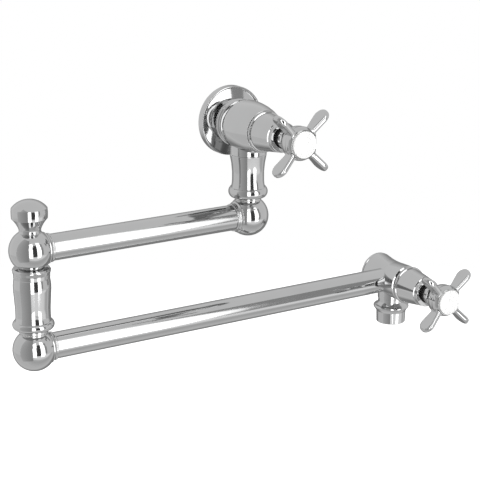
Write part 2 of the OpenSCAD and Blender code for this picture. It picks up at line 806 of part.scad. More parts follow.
module wall_post() {
    top = upper_arm_drop - boss_drop;
    chrome() upright(0, upper_z) difference() {
        union() {
            turned(concat(
                foot_points(post_foot_d / 2),
                [[post_waist_d / 2, post_waist]],
                bow([post_waist_d / 2, post_waist], [boss_d / 2, top - 0.6], -0.6),
                [[boss_d / 2, top - 0.6], [boss_d / 2 - 0.4, top], [0, top]]));
            translate([0, 0, top - cut]) cylinder(h = post_thread_h + cut, d = post_thread_d);
        }
        swivel_bore();
        cylinder(h = top + post_thread_h + cut, d = water_d);
        groove(top + post_thread_h - 2, small_ring_groove_w, post_thread_d / 2 - small_ring_depth);
    }
}

module wall_post_o_ring() {
    rubber() upright(0, upper_z) o_ring(upper_arm_drop - boss_drop + post_thread_h - 2,
        post_thread_d / 2 - small_ring_depth, post_thread_d / 2 + thread_gap);
}

module wall_swivel_screw() {
    upright(0, upper_z) swivel_screw(post_waist_d / 2);
}

// Elbow column: bulging shaft screwed into the upper ball
module elbow_column() {
    top = lower_arm_drop - ball_cut - elbow_ring_h;
    bulge = [column_bulge_d / 2, lower_arm_drop - column_bulge];
    waist = [column_waist_d / 2, bulge[1] + 7.3];
    collar_z = top - column_collar_h;
    collar_r = column_collar_d / 2;
    chrome() upright(elbow_x, lower_z) difference() {
        union() {
            turned(concat(
                foot_points(column_foot_d / 2),
                bow([column_foot_d / 2, bead_height + bead_w / 2 + 0.6], bulge, -0.25),
                bow(bulge, waist, 0.1),
                [waist, [waist[0] - 0.3, waist[1] + 0.5], [waist[0] - 0.3, collar_z]],
                [[collar_r - 0.3, collar_z], [collar_r, collar_z + 0.5]],
                bow([collar_r, top - 1.2], [collar_r - 1, top], 0.35),
                [[collar_r - 1, top], [0, top]]));
            translate([0, 0, top - cut])
                cylinder(h = elbow_ring_h + column_spigot_h + cut, d = column_spigot_d);
        }
        swivel_bore();
        cylinder(h = lower_arm_drop, d = water_d);
    }
}

module elbow_swivel_screw() {
    upright(elbow_x, lower_z) swivel_screw(column_foot_d / 2);
}

// Rounded ring in the deep groove between column and ball
module elbow_ring() {
    inner = column_spigot_d / 2 + thread_gap;
    side = elbow_ring_d / 2 - 0.5;
    chrome() upright(elbow_x, upper_z - ball_cut - elbow_ring_h) turned(concat(
        [[inner, 0]],
        bow([side, 0], [side, elbow_ring_h], 0.5),
        [[side, elbow_ring_h], [inner, elbow_ring_h]]));
}

// Upper ball of the elbow, cut flat below for the column and above for the finial
module elbow_ball() {
    chrome() upright(elbow_x, upper_z) difference() {
        union() {
            cut_ball(-ball_cut, finial_foot);
            rotate([0, 90, 0]) collar();
        }
        rotate([0, 90, 0]) tube_socket();
        translate([0, 0, -ball_cut - cut])
            cylinder(h = column_spigot_h + end_room + cut, r = column_spigot_d / 2 + thread_gap);
        translate([0, 0, -ball_cut]) cylinder(h = ball_cut, d = water_d);
        translate([0, 0, finial_foot - finial_stud_h - end_room])
            cylinder(h = finial_stud_h + cut, r = finial_stud_d / 2 + thread_gap);
        translate([0, 0, finial_foot - ring_section])
            cylinder(h = ring_section + cut, r = finial_stud_d / 2 + ring_section);
    }
}

module elbow_finial() {
    band = finial_band_d / 2;
    foot_r = finial_foot_d / 2 - 0.15;
    waist = [finial_waist_d / 2, finial_foot + finial_waist];
    flare = finial_foot + finial_flare;
    dome = flare + finial_band_h;
    chrome() upright(elbow_x, upper_z) union() {
        turned(concat(
            [[0, finial_foot]],
            bow([foot_r, finial_foot], [foot_r, finial_foot + finial_foot_h], 0.15),
            [[foot_r, finial_foot + finial_foot_h]],
            bow([finial_root_d / 2, finial_foot + finial_foot_h + 0.3], waist, -0.1),
            bow(waist, [band - 0.6, flare - 0.4], -1.3),
            [[band - 0.6, flare - 0.4]],
            bow([band - 0.2, flare], [band - 0.2, dome], 0.2),
            bow([band - 0.2, dome], [0, dome + finial_dome], cap_sag(band - 0.2, finial_dome)),
            [[0, dome + finial_dome]]));
        translate([0, 0, finial_foot - finial_stud_h]) cylinder(h = finial_stud_h + cut, d = finial_stud_d);
    }
}

module elbow_finial_o_ring() {
    rubber() upright(elbow_x, upper_z) o_ring(finial_foot - ring_section / 2,
        finial_stud_d / 2, finial_stud_d / 2 + ring_section);
}

// Arm tubes

module upper_arm_tube() {
    chrome() along_arm(0, upper_z, -1) translate([0, 0, socket_stop + thread_gap])
        ring(tube_r - tube_wall, tube_r, upper_reach - 2 * (socket_stop + thread_gap));
}

module lower_arm_tube() {
    chrome() along_arm(elbow_x, lower_z, 1) translate([0, 0, socket_stop + thread_gap])
        ring(tube_r - tube_wall, tube_r, lower_reach - end_socket_stop - socket_stop - 2 * thread_gap);
}

// End valve body: bell-shaped, with the arm tube in its side and the outlet below

module end_valve_body() {
    rim = end_rim_d / 2;
    rear = arm_plane - end_rear;
    waist = end_waist_d / 2;
    ring_r = bonnet_ring_d / 2 - 0.2;
    ring_z = end_head - end_ring_w;
    cove_z = ring_z - end_cove_w;
    chrome() difference() {
        union() {
            off_wall(outlet_x, lower_z) turned(concat(
                [[0, rear]],
                bow([rim - 1.8, rear], [rim, rear + 1.8], 0.5),
                [[rim, rear + 1.8]],
                bow([rim, rear + end_rim_w], [waist, arm_plane + 3.5], -0.7),
                bow([waist, arm_plane + 3.5], [waist + 0.5, cove_z], 0.1),
                bow([waist + 0.5, cove_z], [ring_r - 0.9, ring_z], -0.9),
                bow([ring_r - 0.5, ring_z], [ring_r - 0.5, end_head], 0.5),
                [[ring_r - 0.5, end_head], [0, end_head]]));
            hanging(outlet_x, lower_z) cylinder(h = end_boss_drop, d = end_boss_d);
        }
        off_wall(outlet_x, lower_z, end_head) {
            cartridge_seat();
            translate([0, 0, -seat_depth - end_rear_bore]) cylinder(h = seat_depth, d = seat_bore_d);
        }
        along_arm(outlet_x, lower_z, -1) translate([0, 0, end_socket_stop])
            cylinder(h = ball_d, r = tube_r + thread_gap);
        rear_port();
        hanging(outlet_x, lower_z) {
            cylinder(h = end_boss_drop + cut, d = water_d);
            translate([0, 0, end_boss_drop - outlet_thread_h - end_room])
                cylinder(h = outlet_thread_h + end_room + cut, r = outlet_thread_d / 2 + thread_gap);
        }
    }
}

// The slanted waterway from the tube's end, behind the chamber, to the hole under the seat
module rear_port() {
    r = rear_port_d / 2;
    side = end_socket_stop + cut;
    from = arm_plane - tube_r + tube_wall + r / 2;
    to = end_head - seat_depth - end_rear_bore + r;
    translate([outlet_x - side, -from, lower_z]) rotate([0, 0, atan2(from - to, side)])
        rotate([0, 90, 0]) cylinder(h = norm([side, from - to]), r = r);
}

// Outlet with its aerator; height is the drop below the valve axis

module outlet_nozzle() {
    neck = outlet_neck_d / 2;
    bead = outlet_bead_d / 2;
    barrel = barrel_d / 2;
    chrome() hanging(outlet_x, lower_z) difference() {
        union() {
            turned(concat(
                [[0, end_boss_drop], [neck, end_boss_drop]],
                bow([neck, outlet_neck], [bead - 0.7, outlet_bead - 1.4], -0.5),
                bow([bead - 0.7, outlet_bead - 1.4], [bead - 0.7, outlet_bead + 1.4], 0.7),
                bow([bead - 0.7, outlet_bead + 1.4], [barrel, barrel_top], 0.2),
                [[barrel, barrel_top], [barrel, outlet_mouth - 0.6], [barrel - 0.6, outlet_mouth]],
                [[0, outlet_mouth]]));
            translate([0, 0, end_boss_drop - outlet_thread_h])
                cylinder(h = outlet_thread_h + cut, d = outlet_thread_d);
        }
        cylinder(h = outlet_mouth, d = water_d);
        translate([0, 0, aerator_top - aerator_washer_t])
            cylinder(h = outlet_mouth, r = aerator_d / 2 + thread_gap);
        groove(end_boss_drop - outlet_thread_h + 2, small_ring_groove_w,
            outlet_thread_d / 2 - small_ring_depth);
    }
}

module outlet_o_ring() {
    rubber() hanging(outlet_x, lower_z) o_ring(end_boss_drop - outlet_thread_h + 2,
        outlet_thread_d / 2 - small_ring_depth, outlet_thread_d / 2 + thread_gap);
}

module aerator_washer() {
    rubber() hanging(outlet_x, lower_z) translate([0, 0, aerator_top - aerator_washer_t])
        ring(aerator_inner_r - 2 * aerator_wall, aerator_d / 2 - thread_gap, aerator_washer_t);
}

module aerator_shell() {
    chrome() hanging(outlet_x, lower_z) translate([0, 0, aerator_top]) difference() {
        cylinder(h = aerator_h - end_room, d = aerator_d);
        translate([0, 0, -cut]) cylinder(h = insert_h + screen_t + cut, r = aerator_inner_r);
        cylinder(h = aerator_h, r = aerator_inner_r - screen_t);
    }
}

// Holes on two circles and one in the middle, through a disc of height h
module shower_holes(r, pitch, sides) {
    for (n = [0:2]) for (i = [0:max(1, 6 * n) - 1])
        rotate(360 * i / max(1, 6 * n)) translate([pitch * n, 0, -cut])
            cylinder(h = aerator_h, r = r, $fn = sides);
}

module aerator_insert() {
    color([0.85, 0.86, 0.88]) hanging(outlet_x, lower_z) translate([0, 0, aerator_top]) difference() {
        cylinder(h = insert_h, r = aerator_inner_r - thread_gap);
        shower_holes(0.9, 3.6, 24);
    }
}

module aerator_screen() {
    chrome() hanging(outlet_x, lower_z) translate([0, 0, aerator_top + insert_h]) difference() {
        cylinder(h = screen_t, r = aerator_inner_r - thread_gap);
        shower_holes(1.6, 3.6, 6);
    }
}

// Places of the pieces that both valves have

module at_wall_valve() { off_wall(0, 0, wall_head) children(); }
module at_end_valve() { off_wall(outlet_x, lower_z, end_head) children(); }

wall_flange();
flange_gasket();
flange_o_ring();
wall_body();
at_wall_valve() bonnet();  // wall_bonnet
at_wall_valve() bonnet_o_ring();  // wall_bonnet_o_ring
at_wall_valve() cartridge_shell();  // wall_cartridge_shell
at_wall_valve() cartridge_o_ring();  // wall_cartridge_o_ring
at_wall_valve() seat_seal();  // wall_seat_seal
at_wall_valve() fixed_disc();  // wall_fixed_disc
at_wall_valve() stop_ring();  // wall_stop_ring
wall_post();
wall_post_o_ring();
wall_swivel_screw();
at_wall_valve() spindle();  // wall_spindle
at_wall_valve() spindle_o_rings();  // wall_spindle_o_rings
at_wall_valve() moving_disc();  // wall_moving_disc
at_wall_valve() handle();  // wall_handle
at_wall_valve() handle_screw();  // wall_handle_screw
at_wall_valve() index_button();  // wall_index_button
upright(0, upper_z) swivel_ball(-1);  // upper_arm_ball
upright(0, upper_z) swivel_o_rings();  // wall_swivel_o_rings
upright(0, upper_z) swivel_washer();  // wall_swivel_washer
upper_arm_tube();
elbow_ball();
elbow_finial();
elbow_finial_o_ring();
elbow_ring();
elbow_column();
elbow_swivel_screw();
upright(elbow_x, lower_z) swivel_ball(1);  // lower_arm_ball
upright(elbow_x, lower_z) swivel_o_rings();  // elbow_swivel_o_rings
upright(elbow_x, lower_z) swivel_washer();  // elbow_swivel_washer
lower_arm_tube();
end_valve_body();
at_end_valve() bonnet();  // end_bonnet
at_end_valve() bonnet_o_ring();  // end_bonnet_o_ring
at_end_valve() cartridge_shell();  // end_cartridge_shell
at_end_valve() cartridge_o_ring();  // end_cartridge_o_ring
at_end_valve() seat_seal();  // end_seat_seal
at_end_valve() fixed_disc();  // end_fixed_disc
at_end_valve() stop_ring();  // end_stop_ring
at_end_valve() spindle();  // end_spindle
at_end_valve() spindle_o_rings();  // end_spindle_o_rings
at_end_valve() moving_disc();  // end_moving_disc
at_end_valve() handle();  // end_handle
at_end_valve() handle_screw();  // end_handle_screw
at_end_valve() index_button();  // end_index_button
outlet_nozzle();
outlet_o_ring();
aerator_washer();
aerator_shell();
aerator_insert();
aerator_screen();
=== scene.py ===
"""Looks of the wall-mounted pot filler: turned chrome pieces, cross handles, studio and camera.

Every visible turned piece is drawn as an outline of knots, as a turner would draw it, and spun
about its own axis. Outlines are in millimetres; everything placed in the scene is in metres.
"""

import json
import logging
import math
from dataclasses import dataclass
from enum import Enum
from typing import Callable, Sequence

import bpy
from mathutils import Matrix, Vector

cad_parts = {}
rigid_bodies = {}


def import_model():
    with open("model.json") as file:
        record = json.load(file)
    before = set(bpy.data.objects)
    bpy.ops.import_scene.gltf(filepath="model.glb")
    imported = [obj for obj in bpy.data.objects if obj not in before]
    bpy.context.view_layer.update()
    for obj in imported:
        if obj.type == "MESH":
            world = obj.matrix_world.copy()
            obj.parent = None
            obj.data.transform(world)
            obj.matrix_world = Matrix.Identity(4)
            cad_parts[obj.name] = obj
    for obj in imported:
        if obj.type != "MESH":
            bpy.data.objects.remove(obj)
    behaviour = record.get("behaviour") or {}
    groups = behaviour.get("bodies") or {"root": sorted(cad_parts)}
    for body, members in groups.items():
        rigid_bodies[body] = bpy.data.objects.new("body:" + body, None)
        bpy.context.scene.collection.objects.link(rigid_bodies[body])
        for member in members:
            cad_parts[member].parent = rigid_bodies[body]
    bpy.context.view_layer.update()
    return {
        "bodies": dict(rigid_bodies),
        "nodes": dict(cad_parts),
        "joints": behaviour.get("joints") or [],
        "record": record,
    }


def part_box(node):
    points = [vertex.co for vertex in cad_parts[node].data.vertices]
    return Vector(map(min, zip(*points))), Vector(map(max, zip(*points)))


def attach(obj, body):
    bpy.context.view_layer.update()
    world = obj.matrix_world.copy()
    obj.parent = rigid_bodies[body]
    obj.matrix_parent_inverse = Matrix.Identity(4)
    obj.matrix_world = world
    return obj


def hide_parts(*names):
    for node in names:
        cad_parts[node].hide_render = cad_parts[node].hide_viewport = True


log = logging.getLogger("pot_filler")

Piece = bpy.types.Object
Stops = tuple[tuple[float, float], ...]

MM = 0.001
# Steps round the axis: of most turned pieces, of the arm balls, and of the widest ones
SPIN_STEPS, BALL_STEPS, FINE_STEPS = 144, 128, 192
# Degrees that one segment of a bowed stretch, of a rounded corner and of a ball turns at most
BOW_STEP, ROUND_STEP, BALL_STEP = 6, 12, 3
# Share of a stretch that the rounding of one corner takes up at most, and the angle in radians
# from which a corner is rounded
MOST_TRIMMED, ROUNDED_FROM = 0.45, 0.02
# Millimetres from a corner to the point that keeps its shading in place, the share of a segment
# that this may be, and the least stretch that has such points
HOLD, HOLD_SHARE, HELD_FROM = 0.12, 0.2, 0.5
SMOOTH_ANGLE = math.radians(38)
# Metres between vertices that are merged
DOUBLES = 2e-6


class Facing(Enum):
    """Which way the height of a turned piece runs."""

    OUT = (0.0, -1.0, 0.0)
    UP = (0.0, 0.0, 1.0)
    DOWN = (0.0, 0.0, -1.0)
    LEFT = (-1.0, 0.0, 0.0)
    RIGHT = (1.0, 0.0, 0.0)


class Body(Enum):
    """The bodies of the frame that pieces ride on."""

    WALL_VALVE = "wall_valve"
    WALL_TAP = "wall_tap"
    UPPER_ARM = "upper_arm"
    LOWER_ARM = "lower_arm"
    END_TAP = "end_tap"


@dataclass(frozen=True)
class Seat:
    """The axis that a piece is turned about.

    Attributes:
        origin: Point on the axis at height 0, in metres.
        facing: Direction of the height.
    """

    origin: Vector
    facing: Facing

    @property
    def axis(self) -> Vector:
        """Unit vector along the height."""
        return Vector(self.facing.value)

    @property
    def side(self) -> Vector:
        """Unit vector across the axis, in which the outline is drawn."""
        return Vector((0, 1, 0)) if abs(self.axis.y) < 0.5 else Vector((0, 0, 1))

    def at(self, radius: float, height: float) -> Vector:
        """Place in the scene of an outline point given in millimetres."""
        return self.origin + (self.side * radius + self.axis * height) * MM


@dataclass(frozen=True)
class Knot:
    """One corner of a turned outline, in millimetres.

    Attributes:
        r: Distance from the axis.
        h: Height along the axis.
        soft: Radius of the rounding at the corner.
        sag: How far the stretch to the next knot bows away from the axis.
    """

    r: float
    h: float
    soft: float = 0.0
    sag: float = 0.0


def bowed(a: Vector, b: Vector, sag: float) -> list[Vector]:
    """Points from a to b on an arc.

    Args:
        a: First point, as radius and height.
        b: Last point.
        sag: How far the arc bows to the right of the way from a to b; 0 is a straight line.

    Returns:
        The points, both ends included.
    """
    way = b - a
    chord = way.length
    if abs(sag) < 1e-4 or chord < 1e-4:
        return [a, b]
    half = 2 * math.atan(2 * abs(sag) / chord)
    radius = chord / (2 * math.sin(half))
    along = way / chord
    out = Vector((along.y, -along.x)) * math.copysign(1, sag)
    steps = max(3, math.ceil(math.degrees(2 * half) / BOW_STEP))
    points = []
    for i in range(steps + 1):
        t = half * (2 * i / steps - 1)
        rise = radius * (math.cos(t) - math.cos(half))
        points.append(a + along * (chord / 2 + radius * math.sin(t)) + out * rise)
    return points


def trimmed(points: list[Vector], room: float) -> list[Vector]:
    """Takes a length off the start of a line of points.

    Args:
        points: The line.
        room: Length to take off.

    Returns:
        What is left, starting where the length ends.
    """
    rest = list(points)
    while len(rest) > 2 and (rest[1] - rest[0]).length <= room:
        room -= (rest[1] - rest[0]).length
        rest.pop(0)
    way = rest[1] - rest[0]
    rest[0] = rest[0] + way * min(0.9, room / max(way.length, 1e-9))
    return rest


def length_of(points: Sequence[Vector]) -> float:
    """Length of a line of points."""
    return sum((b - a).length for a, b in zip(points, points[1:]))


def held(points: list[Vector]) -> list[Vector]:
    """Adds a point near each end of a stretch, so that its shading keeps clear of the corners."""
    if length_of(points) < HELD_FROM:
        return points
    first, last = points[1] - points[0], points[-1] - points[-2]
    near = points[0] + first * min(HOLD_SHARE, HOLD / first.length)
    far = points[-1] - last * min(HOLD_SHARE, HOLD / last.length)
    return [points[0], near, *points[1:-1], far, points[-1]]


def outline(knots: Sequence[Knot], closed: bool) -> list[Vector]:
    """Draws the outline through its knots, with bowed stretches and rounded corners.

    Args:
        knots: The corners in order.
        closed: Whether the last knot joins the first.

    Returns:
        Points as radius and height, in millimetres.
    """
    count = len(knots)
    corner = [Vector((k.r, k.h)) for k in knots]
    last = count if closed else count - 1
    stretches = [bowed(corner[i], corner[(i + 1) % count], knots[i].sag) for i in range(last)]
    rounds: dict[int, tuple[Vector, Vector, float]] = {}
    lengths = [length_of(s) for s in stretches]
    for i, knot in enumerate(knots):
        if knot.soft <= 0 or (not closed and i in (0, count - 1)):
            continue
        before, after = (i - 1) % last, i
        into = (stretches[before][-1] - stretches[before][-2]).normalized()
        away = (stretches[after][1] - stretches[after][0]).normalized()
        turn = into.angle(away, 0.0)
        if turn < ROUNDED_FROM:
            continue
        most = MOST_TRIMMED * min(lengths[before], lengths[after])
        room = min(knot.soft * math.tan(turn / 2), most)
        stretches[before] = trimmed(stretches[before][::-1], room)[::-1]
        stretches[after] = trimmed(stretches[after], room)
        rounds[i] = (stretches[before][-1], stretches[after][0], turn)
    points: list[Vector] = []
    for i in range(last):
        if i in rounds:
            start, end, turn = rounds[i]
            weight = math.cos(turn / 2)
            steps = max(2, math.ceil(math.degrees(turn) / ROUND_STEP))
            for j in range(1, steps):
                t = j / steps
                parts = ((1 - t) ** 2, 2 * weight * t * (1 - t), t * t)
                point = start * parts[0] + corner[i] * parts[1] + end * parts[2]
                points.append(point / sum(parts))
        points.extend(held(stretches[i]))
    tidy: list[Vector] = []
    for point in points:
        if not tidy or (point - tidy[-1]).length > 1e-3:
            tidy.append(point)
    return tidy


def sphere(radius: float, low: float, high: float) -> list[Knot]:
    """Knots on a sphere about the axis's height 0, from height low up to height high."""
    a, b = math.asin(low / radius), math.asin(high / radius)
    steps = max(4, math.ceil(math.degrees(b - a) / BALL_STEP))
    angles = [a + (b - a) * i / steps for i in range(steps + 1)]
    return [Knot(max(0.0, radius * math.cos(t)), radius * math.sin(t)) for t in angles]


def tube(
    inner: float, outer: float, low: float, high: float, soft: tuple[float, float] = (0.0, 0.0)
) -> list[Knot]:
    """Knots of a plain tube, or of a rod if inner is 0.

    Args:
        inner: Radius inside.
        outer: Radius outside.
        low: Height where it begins.
        high: Height where it ends.
        soft: Rounding of its outer edge at each end.

    Returns:
        The four knots.
    """
    return [
        Knot(inner, low), Knot(outer, low, soft[0]), Knot(outer, high, soft[1]), Knot(inner, high)
    ]


def cap_sag(r: float, h: float) -> float:
    """How far a spherical cap of radius r and height h bows from the line from rim to top."""
    ball = (r * r + h * h) / (2 * h)
    return ball - math.sqrt(ball * ball - (r * r + h * h) / 4)


# Modelling steps that every piece uses


def mode(name: str) -> None:
    """Puts the active object, if there is one, into this mode."""
    if bpy.context.object and bpy.context.object.mode != name:
        bpy.ops.object.mode_set(mode=name)


def rest_all() -> None:
    """Leaves edit mode and deselects every object."""
    mode("OBJECT")
    bpy.ops.object.select_all(action="DESELECT")


def pick(*pieces: Piece) -> None:
    """Selects these objects alone and makes the first one active."""
    rest_all()
    for piece in pieces:
        piece.select_set(True)
    bpy.context.view_layer.objects.active = pieces[0]


def settle(name: str) -> Piece:
    """Names the active object and applies its place to its mesh."""
    piece = bpy.context.object
    mode("OBJECT")
    bpy.ops.object.transform_apply(location=True, rotation=True, scale=True)
    piece.name = name
    piece.data.name = name
    return piece


def select_mesh(chosen: bool = True) -> None:
    """Selects or deselects the whole mesh that is being edited."""
    bpy.ops.mesh.select_all(action="SELECT" if chosen else "DESELECT")


def edit(chosen: bool = True) -> None:
    """Starts to edit the active object, with its whole mesh selected or none of it."""
    mode("EDIT")
    select_mesh(chosen)


def push(way: Vector) -> None:
    """Extrudes the selected part of the mesh along this way."""
    bpy.ops.mesh.extrude_region_move(TRANSFORM_OT_translate={"value": way})


def circle(
    place: Vector, radius: float, corners: int, turned: Sequence[float] = (0, 0, 0),
    filled: bool = True,
) -> None:
    """Adds a flat circle to the mesh in edit mode, or else as an object of its own."""
    bpy.ops.mesh.primitive_circle_add(
        vertices=corners, radius=radius, location=place, rotation=turned,
        fill_type="NGON" if filled else "NOTHING",
    )


def start_point(name: str, place: Vector) -> Piece:
    """Adds an object of a single vertex, which is selected in edit mode."""
    rest_all()
    bpy.ops.mesh.primitive_plane_add(size=MM, location=place)
    piece = settle(name)
    edit()
    bpy.ops.mesh.merge(type="CENTER")
    return piece


def smooth(piece: Piece) -> None:
    """Merges doubles, turns the faces outwards and shades the piece smooth."""
    pick(piece)
    edit()
    bpy.ops.mesh.remove_doubles(threshold=DOUBLES)
    bpy.ops.mesh.normals_make_consistent(inside=False)
    mode("OBJECT")
    bpy.ops.object.shade_smooth_by_angle(angle=SMOOTH_ANGLE)


def turn(name: str, seat: Seat, knots: Sequence[Knot], steps: int = SPIN_STEPS) -> Piece:
    """Turns a piece: its outline is extruded point by point and spun about its axis.

    Args:
        name: Name of the new piece.
        seat: Axis that it is turned about.
        knots: Its outline. One that starts and ends on the axis is open, any other is closed.
        steps: Number of steps round the axis.

    Returns:
        The turned piece.
    """
    closed = knots[0].r > 1e-6 or knots[-1].r > 1e-6
    points = [seat.at(p.x, p.y) for p in outline(knots, closed)]
    if closed:
        points.append(points[0])
    piece = start_point(name, points[0])
    for here, there in zip(points, points[1:]):
        push(there - here)
    select_mesh()
    bpy.ops.mesh.spin(steps=steps, angle=2 * math.pi, center=seat.origin, axis=seat.axis)
    smooth(piece)
    return piece


def slice_off(piece: Piece, point: Vector, normal: Vector) -> None:
    """Cuts a piece with a plane, drops what lies beyond and closes the cut."""
    pick(piece)
    edit()
    bpy.ops.mesh.bisect(plane_co=point, plane_no=normal, use_fill=True, clear_outer=True)
    smooth(piece)


def select_where(piece: Piece, test: Callable[[Vector], bool]) -> None:
    """Selects the vertices of the piece in edit mode whose place passes the test."""
    bpy.ops.mesh.select_mode(type="VERT")
    select_mesh(False)
    mode("OBJECT")
    for vertex in piece.data.vertices:
        vertex.select = test(vertex.co)
    mode("EDIT")


def join(name: str, *pieces: Piece) -> Piece:
    """Joins several shells of one piece into one object."""
    pick(*pieces)
    bpy.ops.object.join()
    return settle(name)


def finished(piece: Piece, finish: "Finish", body: Body, node: str) -> None:
    """Gives a piece its finish, its body and the node that it stands for.

    Args:
        piece: The modelled piece.
        finish: Its finish.
        body: The body that it rides on.
        node: CAD node that it replaces.
    """
    piece.data.materials.clear()
    piece.data.materials.append(finish.material())
    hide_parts(node)
    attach(piece, body.value)
    log.info("%s: %d faces on %s", piece.name, len(piece.data.polygons), body.value)


# Finishes


def fill(node: bpy.types.Node, values: dict[str | int, object]) -> None:
    """Sets inputs of a node that get no link."""
    for name, value in values.items():
        node.inputs[name].default_value = value


@dataclass(frozen=True)
class Graph:
    """A node tree with short ways to add and join its nodes."""

    tree: bpy.types.NodeTree

    def add(
        self, kind: str, values: dict[str | int, object] | None = None, operation: str = ""
    ) -> bpy.types.Node:
        """Adds a node.

        Args:
            kind: Its type, without the ShaderNode in front.
            values: Values of its inputs that get no link.
            operation: What it computes, where it has a choice.

        Returns:
            The node.
        """
        node = self.tree.nodes.new(f"ShaderNode{kind}")
        if operation:
            node.operation = operation
        fill(node, values or {})
        return node

    def join(
        self, source: bpy.types.Node, target: bpy.types.Node, into: str | int, out: str | int = 0
    ) -> None:
        """Links an output of the source, the first one if none is named, to the target's input."""
        self.tree.links.new(source.outputs[out], target.inputs[into])


def drift_group() -> bpy.types.NodeTree:
    """Node group for slow drift of a value over a surface, as polishing and handling leave it.

    Returns:
        The group, with inputs Scale, Low and High and outputs Value and Height.
    """
    name = "surface_drift"
    if name in bpy.data.node_groups:
        return bpy.data.node_groups[name]
    group = bpy.data.node_groups.new(name, "ShaderNodeTree")
    for label, value in (("Scale", 60.0), ("Low", 0.0), ("High", 1.0)):
        socket = group.interface.new_socket(label, in_out="INPUT", socket_type="NodeSocketFloat")
        socket.default_value = value
    for label in ("Value", "Height"):
        group.interface.new_socket(label, in_out="OUTPUT", socket_type="NodeSocketFloat")
    graph = Graph(group)
    source, sink = group.nodes.new("NodeGroupInput"), group.nodes.new("NodeGroupOutput")
    noise = graph.add("TexNoise", {"Detail": 3.0})
    spread = graph.add("MapRange", {"From Min": 0.3, "From Max": 0.7})
    graph.join(graph.add("TexCoord"), noise, "Vector", "Object")
    graph.join(source, noise, "Scale", "Scale")
    graph.join(noise, spread, "Value")
    graph.join(source, spread, "To Min", "Low")
    graph.join(source, spread, "To Max", "High")
    graph.join(spread, sink, "Value")
    graph.join(noise, sink, "Height")
    return group


@dataclass(frozen=True)
class Finish:
    """A finish whose colour and gloss drift a little over the surface.

    Attributes:
        name: Name of the material.
        slot: The record's material slot.
        color: Base colour where it is cleanest.
        worn: Base colour where it is dullest.
        gloss: Lowest and highest roughness.
        metal: Whether it is a metal.
        coat: Weight of the clear glaze.
        grain: Distance of the bump, in metres.
        grain_scale: Scale of the bump's noise.
        drift_scale: Scale of the drift of the colour.
        gloss_scale: Scale of the drift of the roughness.
        ior: Index of refraction.
    """

    name: str
    slot: str
    color: tuple[float, float, float]
    worn: tuple[float, float, float]
    gloss: tuple[float, float]
    metal: bool = False
    coat: float = 0.0
    grain: float = 0.0
    grain_scale: float = 900.0
    drift_scale: float = 45.0
    gloss_scale: float = 103.5
    ior: float = 1.5

    def material(self) -> bpy.types.Material:
        """The Blender material of this finish, built on first use."""
        if self.name in bpy.data.materials:
            return bpy.data.materials[self.name]
        material = bpy.data.materials.new(self.name)
        material.use_nodes = True
        graph = Graph(material.node_tree)
        shader = material.node_tree.nodes["Principled BSDF"]
        fill(shader, {"Metallic": float(self.metal), "IOR": self.ior})
        fill(shader, {"Coat Weight": self.coat, "Coat Roughness": 0.03})
        mix = graph.add("Mix")
        mix.data_type = "RGBA"
        fill(mix, {"A": (*self.color, 1.0), "B": (*self.worn, 1.0)})
        graph.join(self._drift(graph, self.drift_scale, 0.0, 1.0), mix, "Factor")
        graph.join(mix, shader, "Base Color", "Result")
        graph.join(self._drift(graph, self.gloss_scale, *self.gloss), shader, "Roughness")
        if self.grain > 0:
            bump = graph.add("Bump", {"Strength": 1.0, "Distance": self.grain})
            graph.join(self._drift(graph, self.grain_scale, 0.0, 1.0), bump, "Height", "Height")
            graph.join(bump, shader, "Normal")
        return material

    def _drift(self, graph: Graph, scale: float, low: float, high: float) -> bpy.types.Node:
        """Adds the drift group to a material with these limits."""
        node = graph.add("Group")
        node.node_tree = drift_group()
        fill(node, {"Scale": scale, "Low": low, "High": high})
        return node


CHROME = Finish(
    "chrome", "polished_chrome",
    (0.455, 0.457, 0.458), (0.440, 0.441, 0.442), (0.06, 0.09), metal=True,
)
PORCELAIN = Finish(
    "porcelain", "button_porcelain",
    (0.87, 0.87, 0.865), (0.85, 0.85, 0.845), (0.16, 0.24), coat=1.0,
)
BLACK_PLASTIC = Finish(
    "black_plastic", "black_stop_ring",
    (0.025, 0.025, 0.025), (0.04, 0.04, 0.04), (0.16, 0.28), grain=2e-6,
)
RUBBER = Finish(
    "rubber", "black_rubber",
    (0.02, 0.02, 0.021), (0.04, 0.04, 0.041), (0.5, 0.7), grain=8e-6,
)
BRASS = Finish(
    "brass", "cartridge_brass",
    (0.72, 0.53, 0.25), (0.6, 0.42, 0.19), (0.2, 0.34), metal=True, grain=3e-6,
)
CERAMIC = Finish(
    "disc_ceramic", "disc_ceramic",
    (0.82, 0.80, 0.74), (0.76, 0.74, 0.68), (0.1, 0.2), coat=0.4,
)
STEEL = Finish(
    "screw_steel", "screw_steel",
    (0.5, 0.5, 0.51), (0.42, 0.42, 0.43), (0.22, 0.36), metal=True, grain=2e-6,
)
SLIPPERY = Finish(
    "bearing_washer", "washer_ptfe",
    (0.8, 0.8, 0.78), (0.72, 0.72, 0.7), (0.4, 0.5), ior=1.35,
)
CLEAR_PLASTIC = Finish(
    "aerator_plastic", "aerator_plastic",
    (0.62, 0.66, 0.7), (0.56, 0.6, 0.64), (0.25, 0.35),
)


# Sub-assemblies


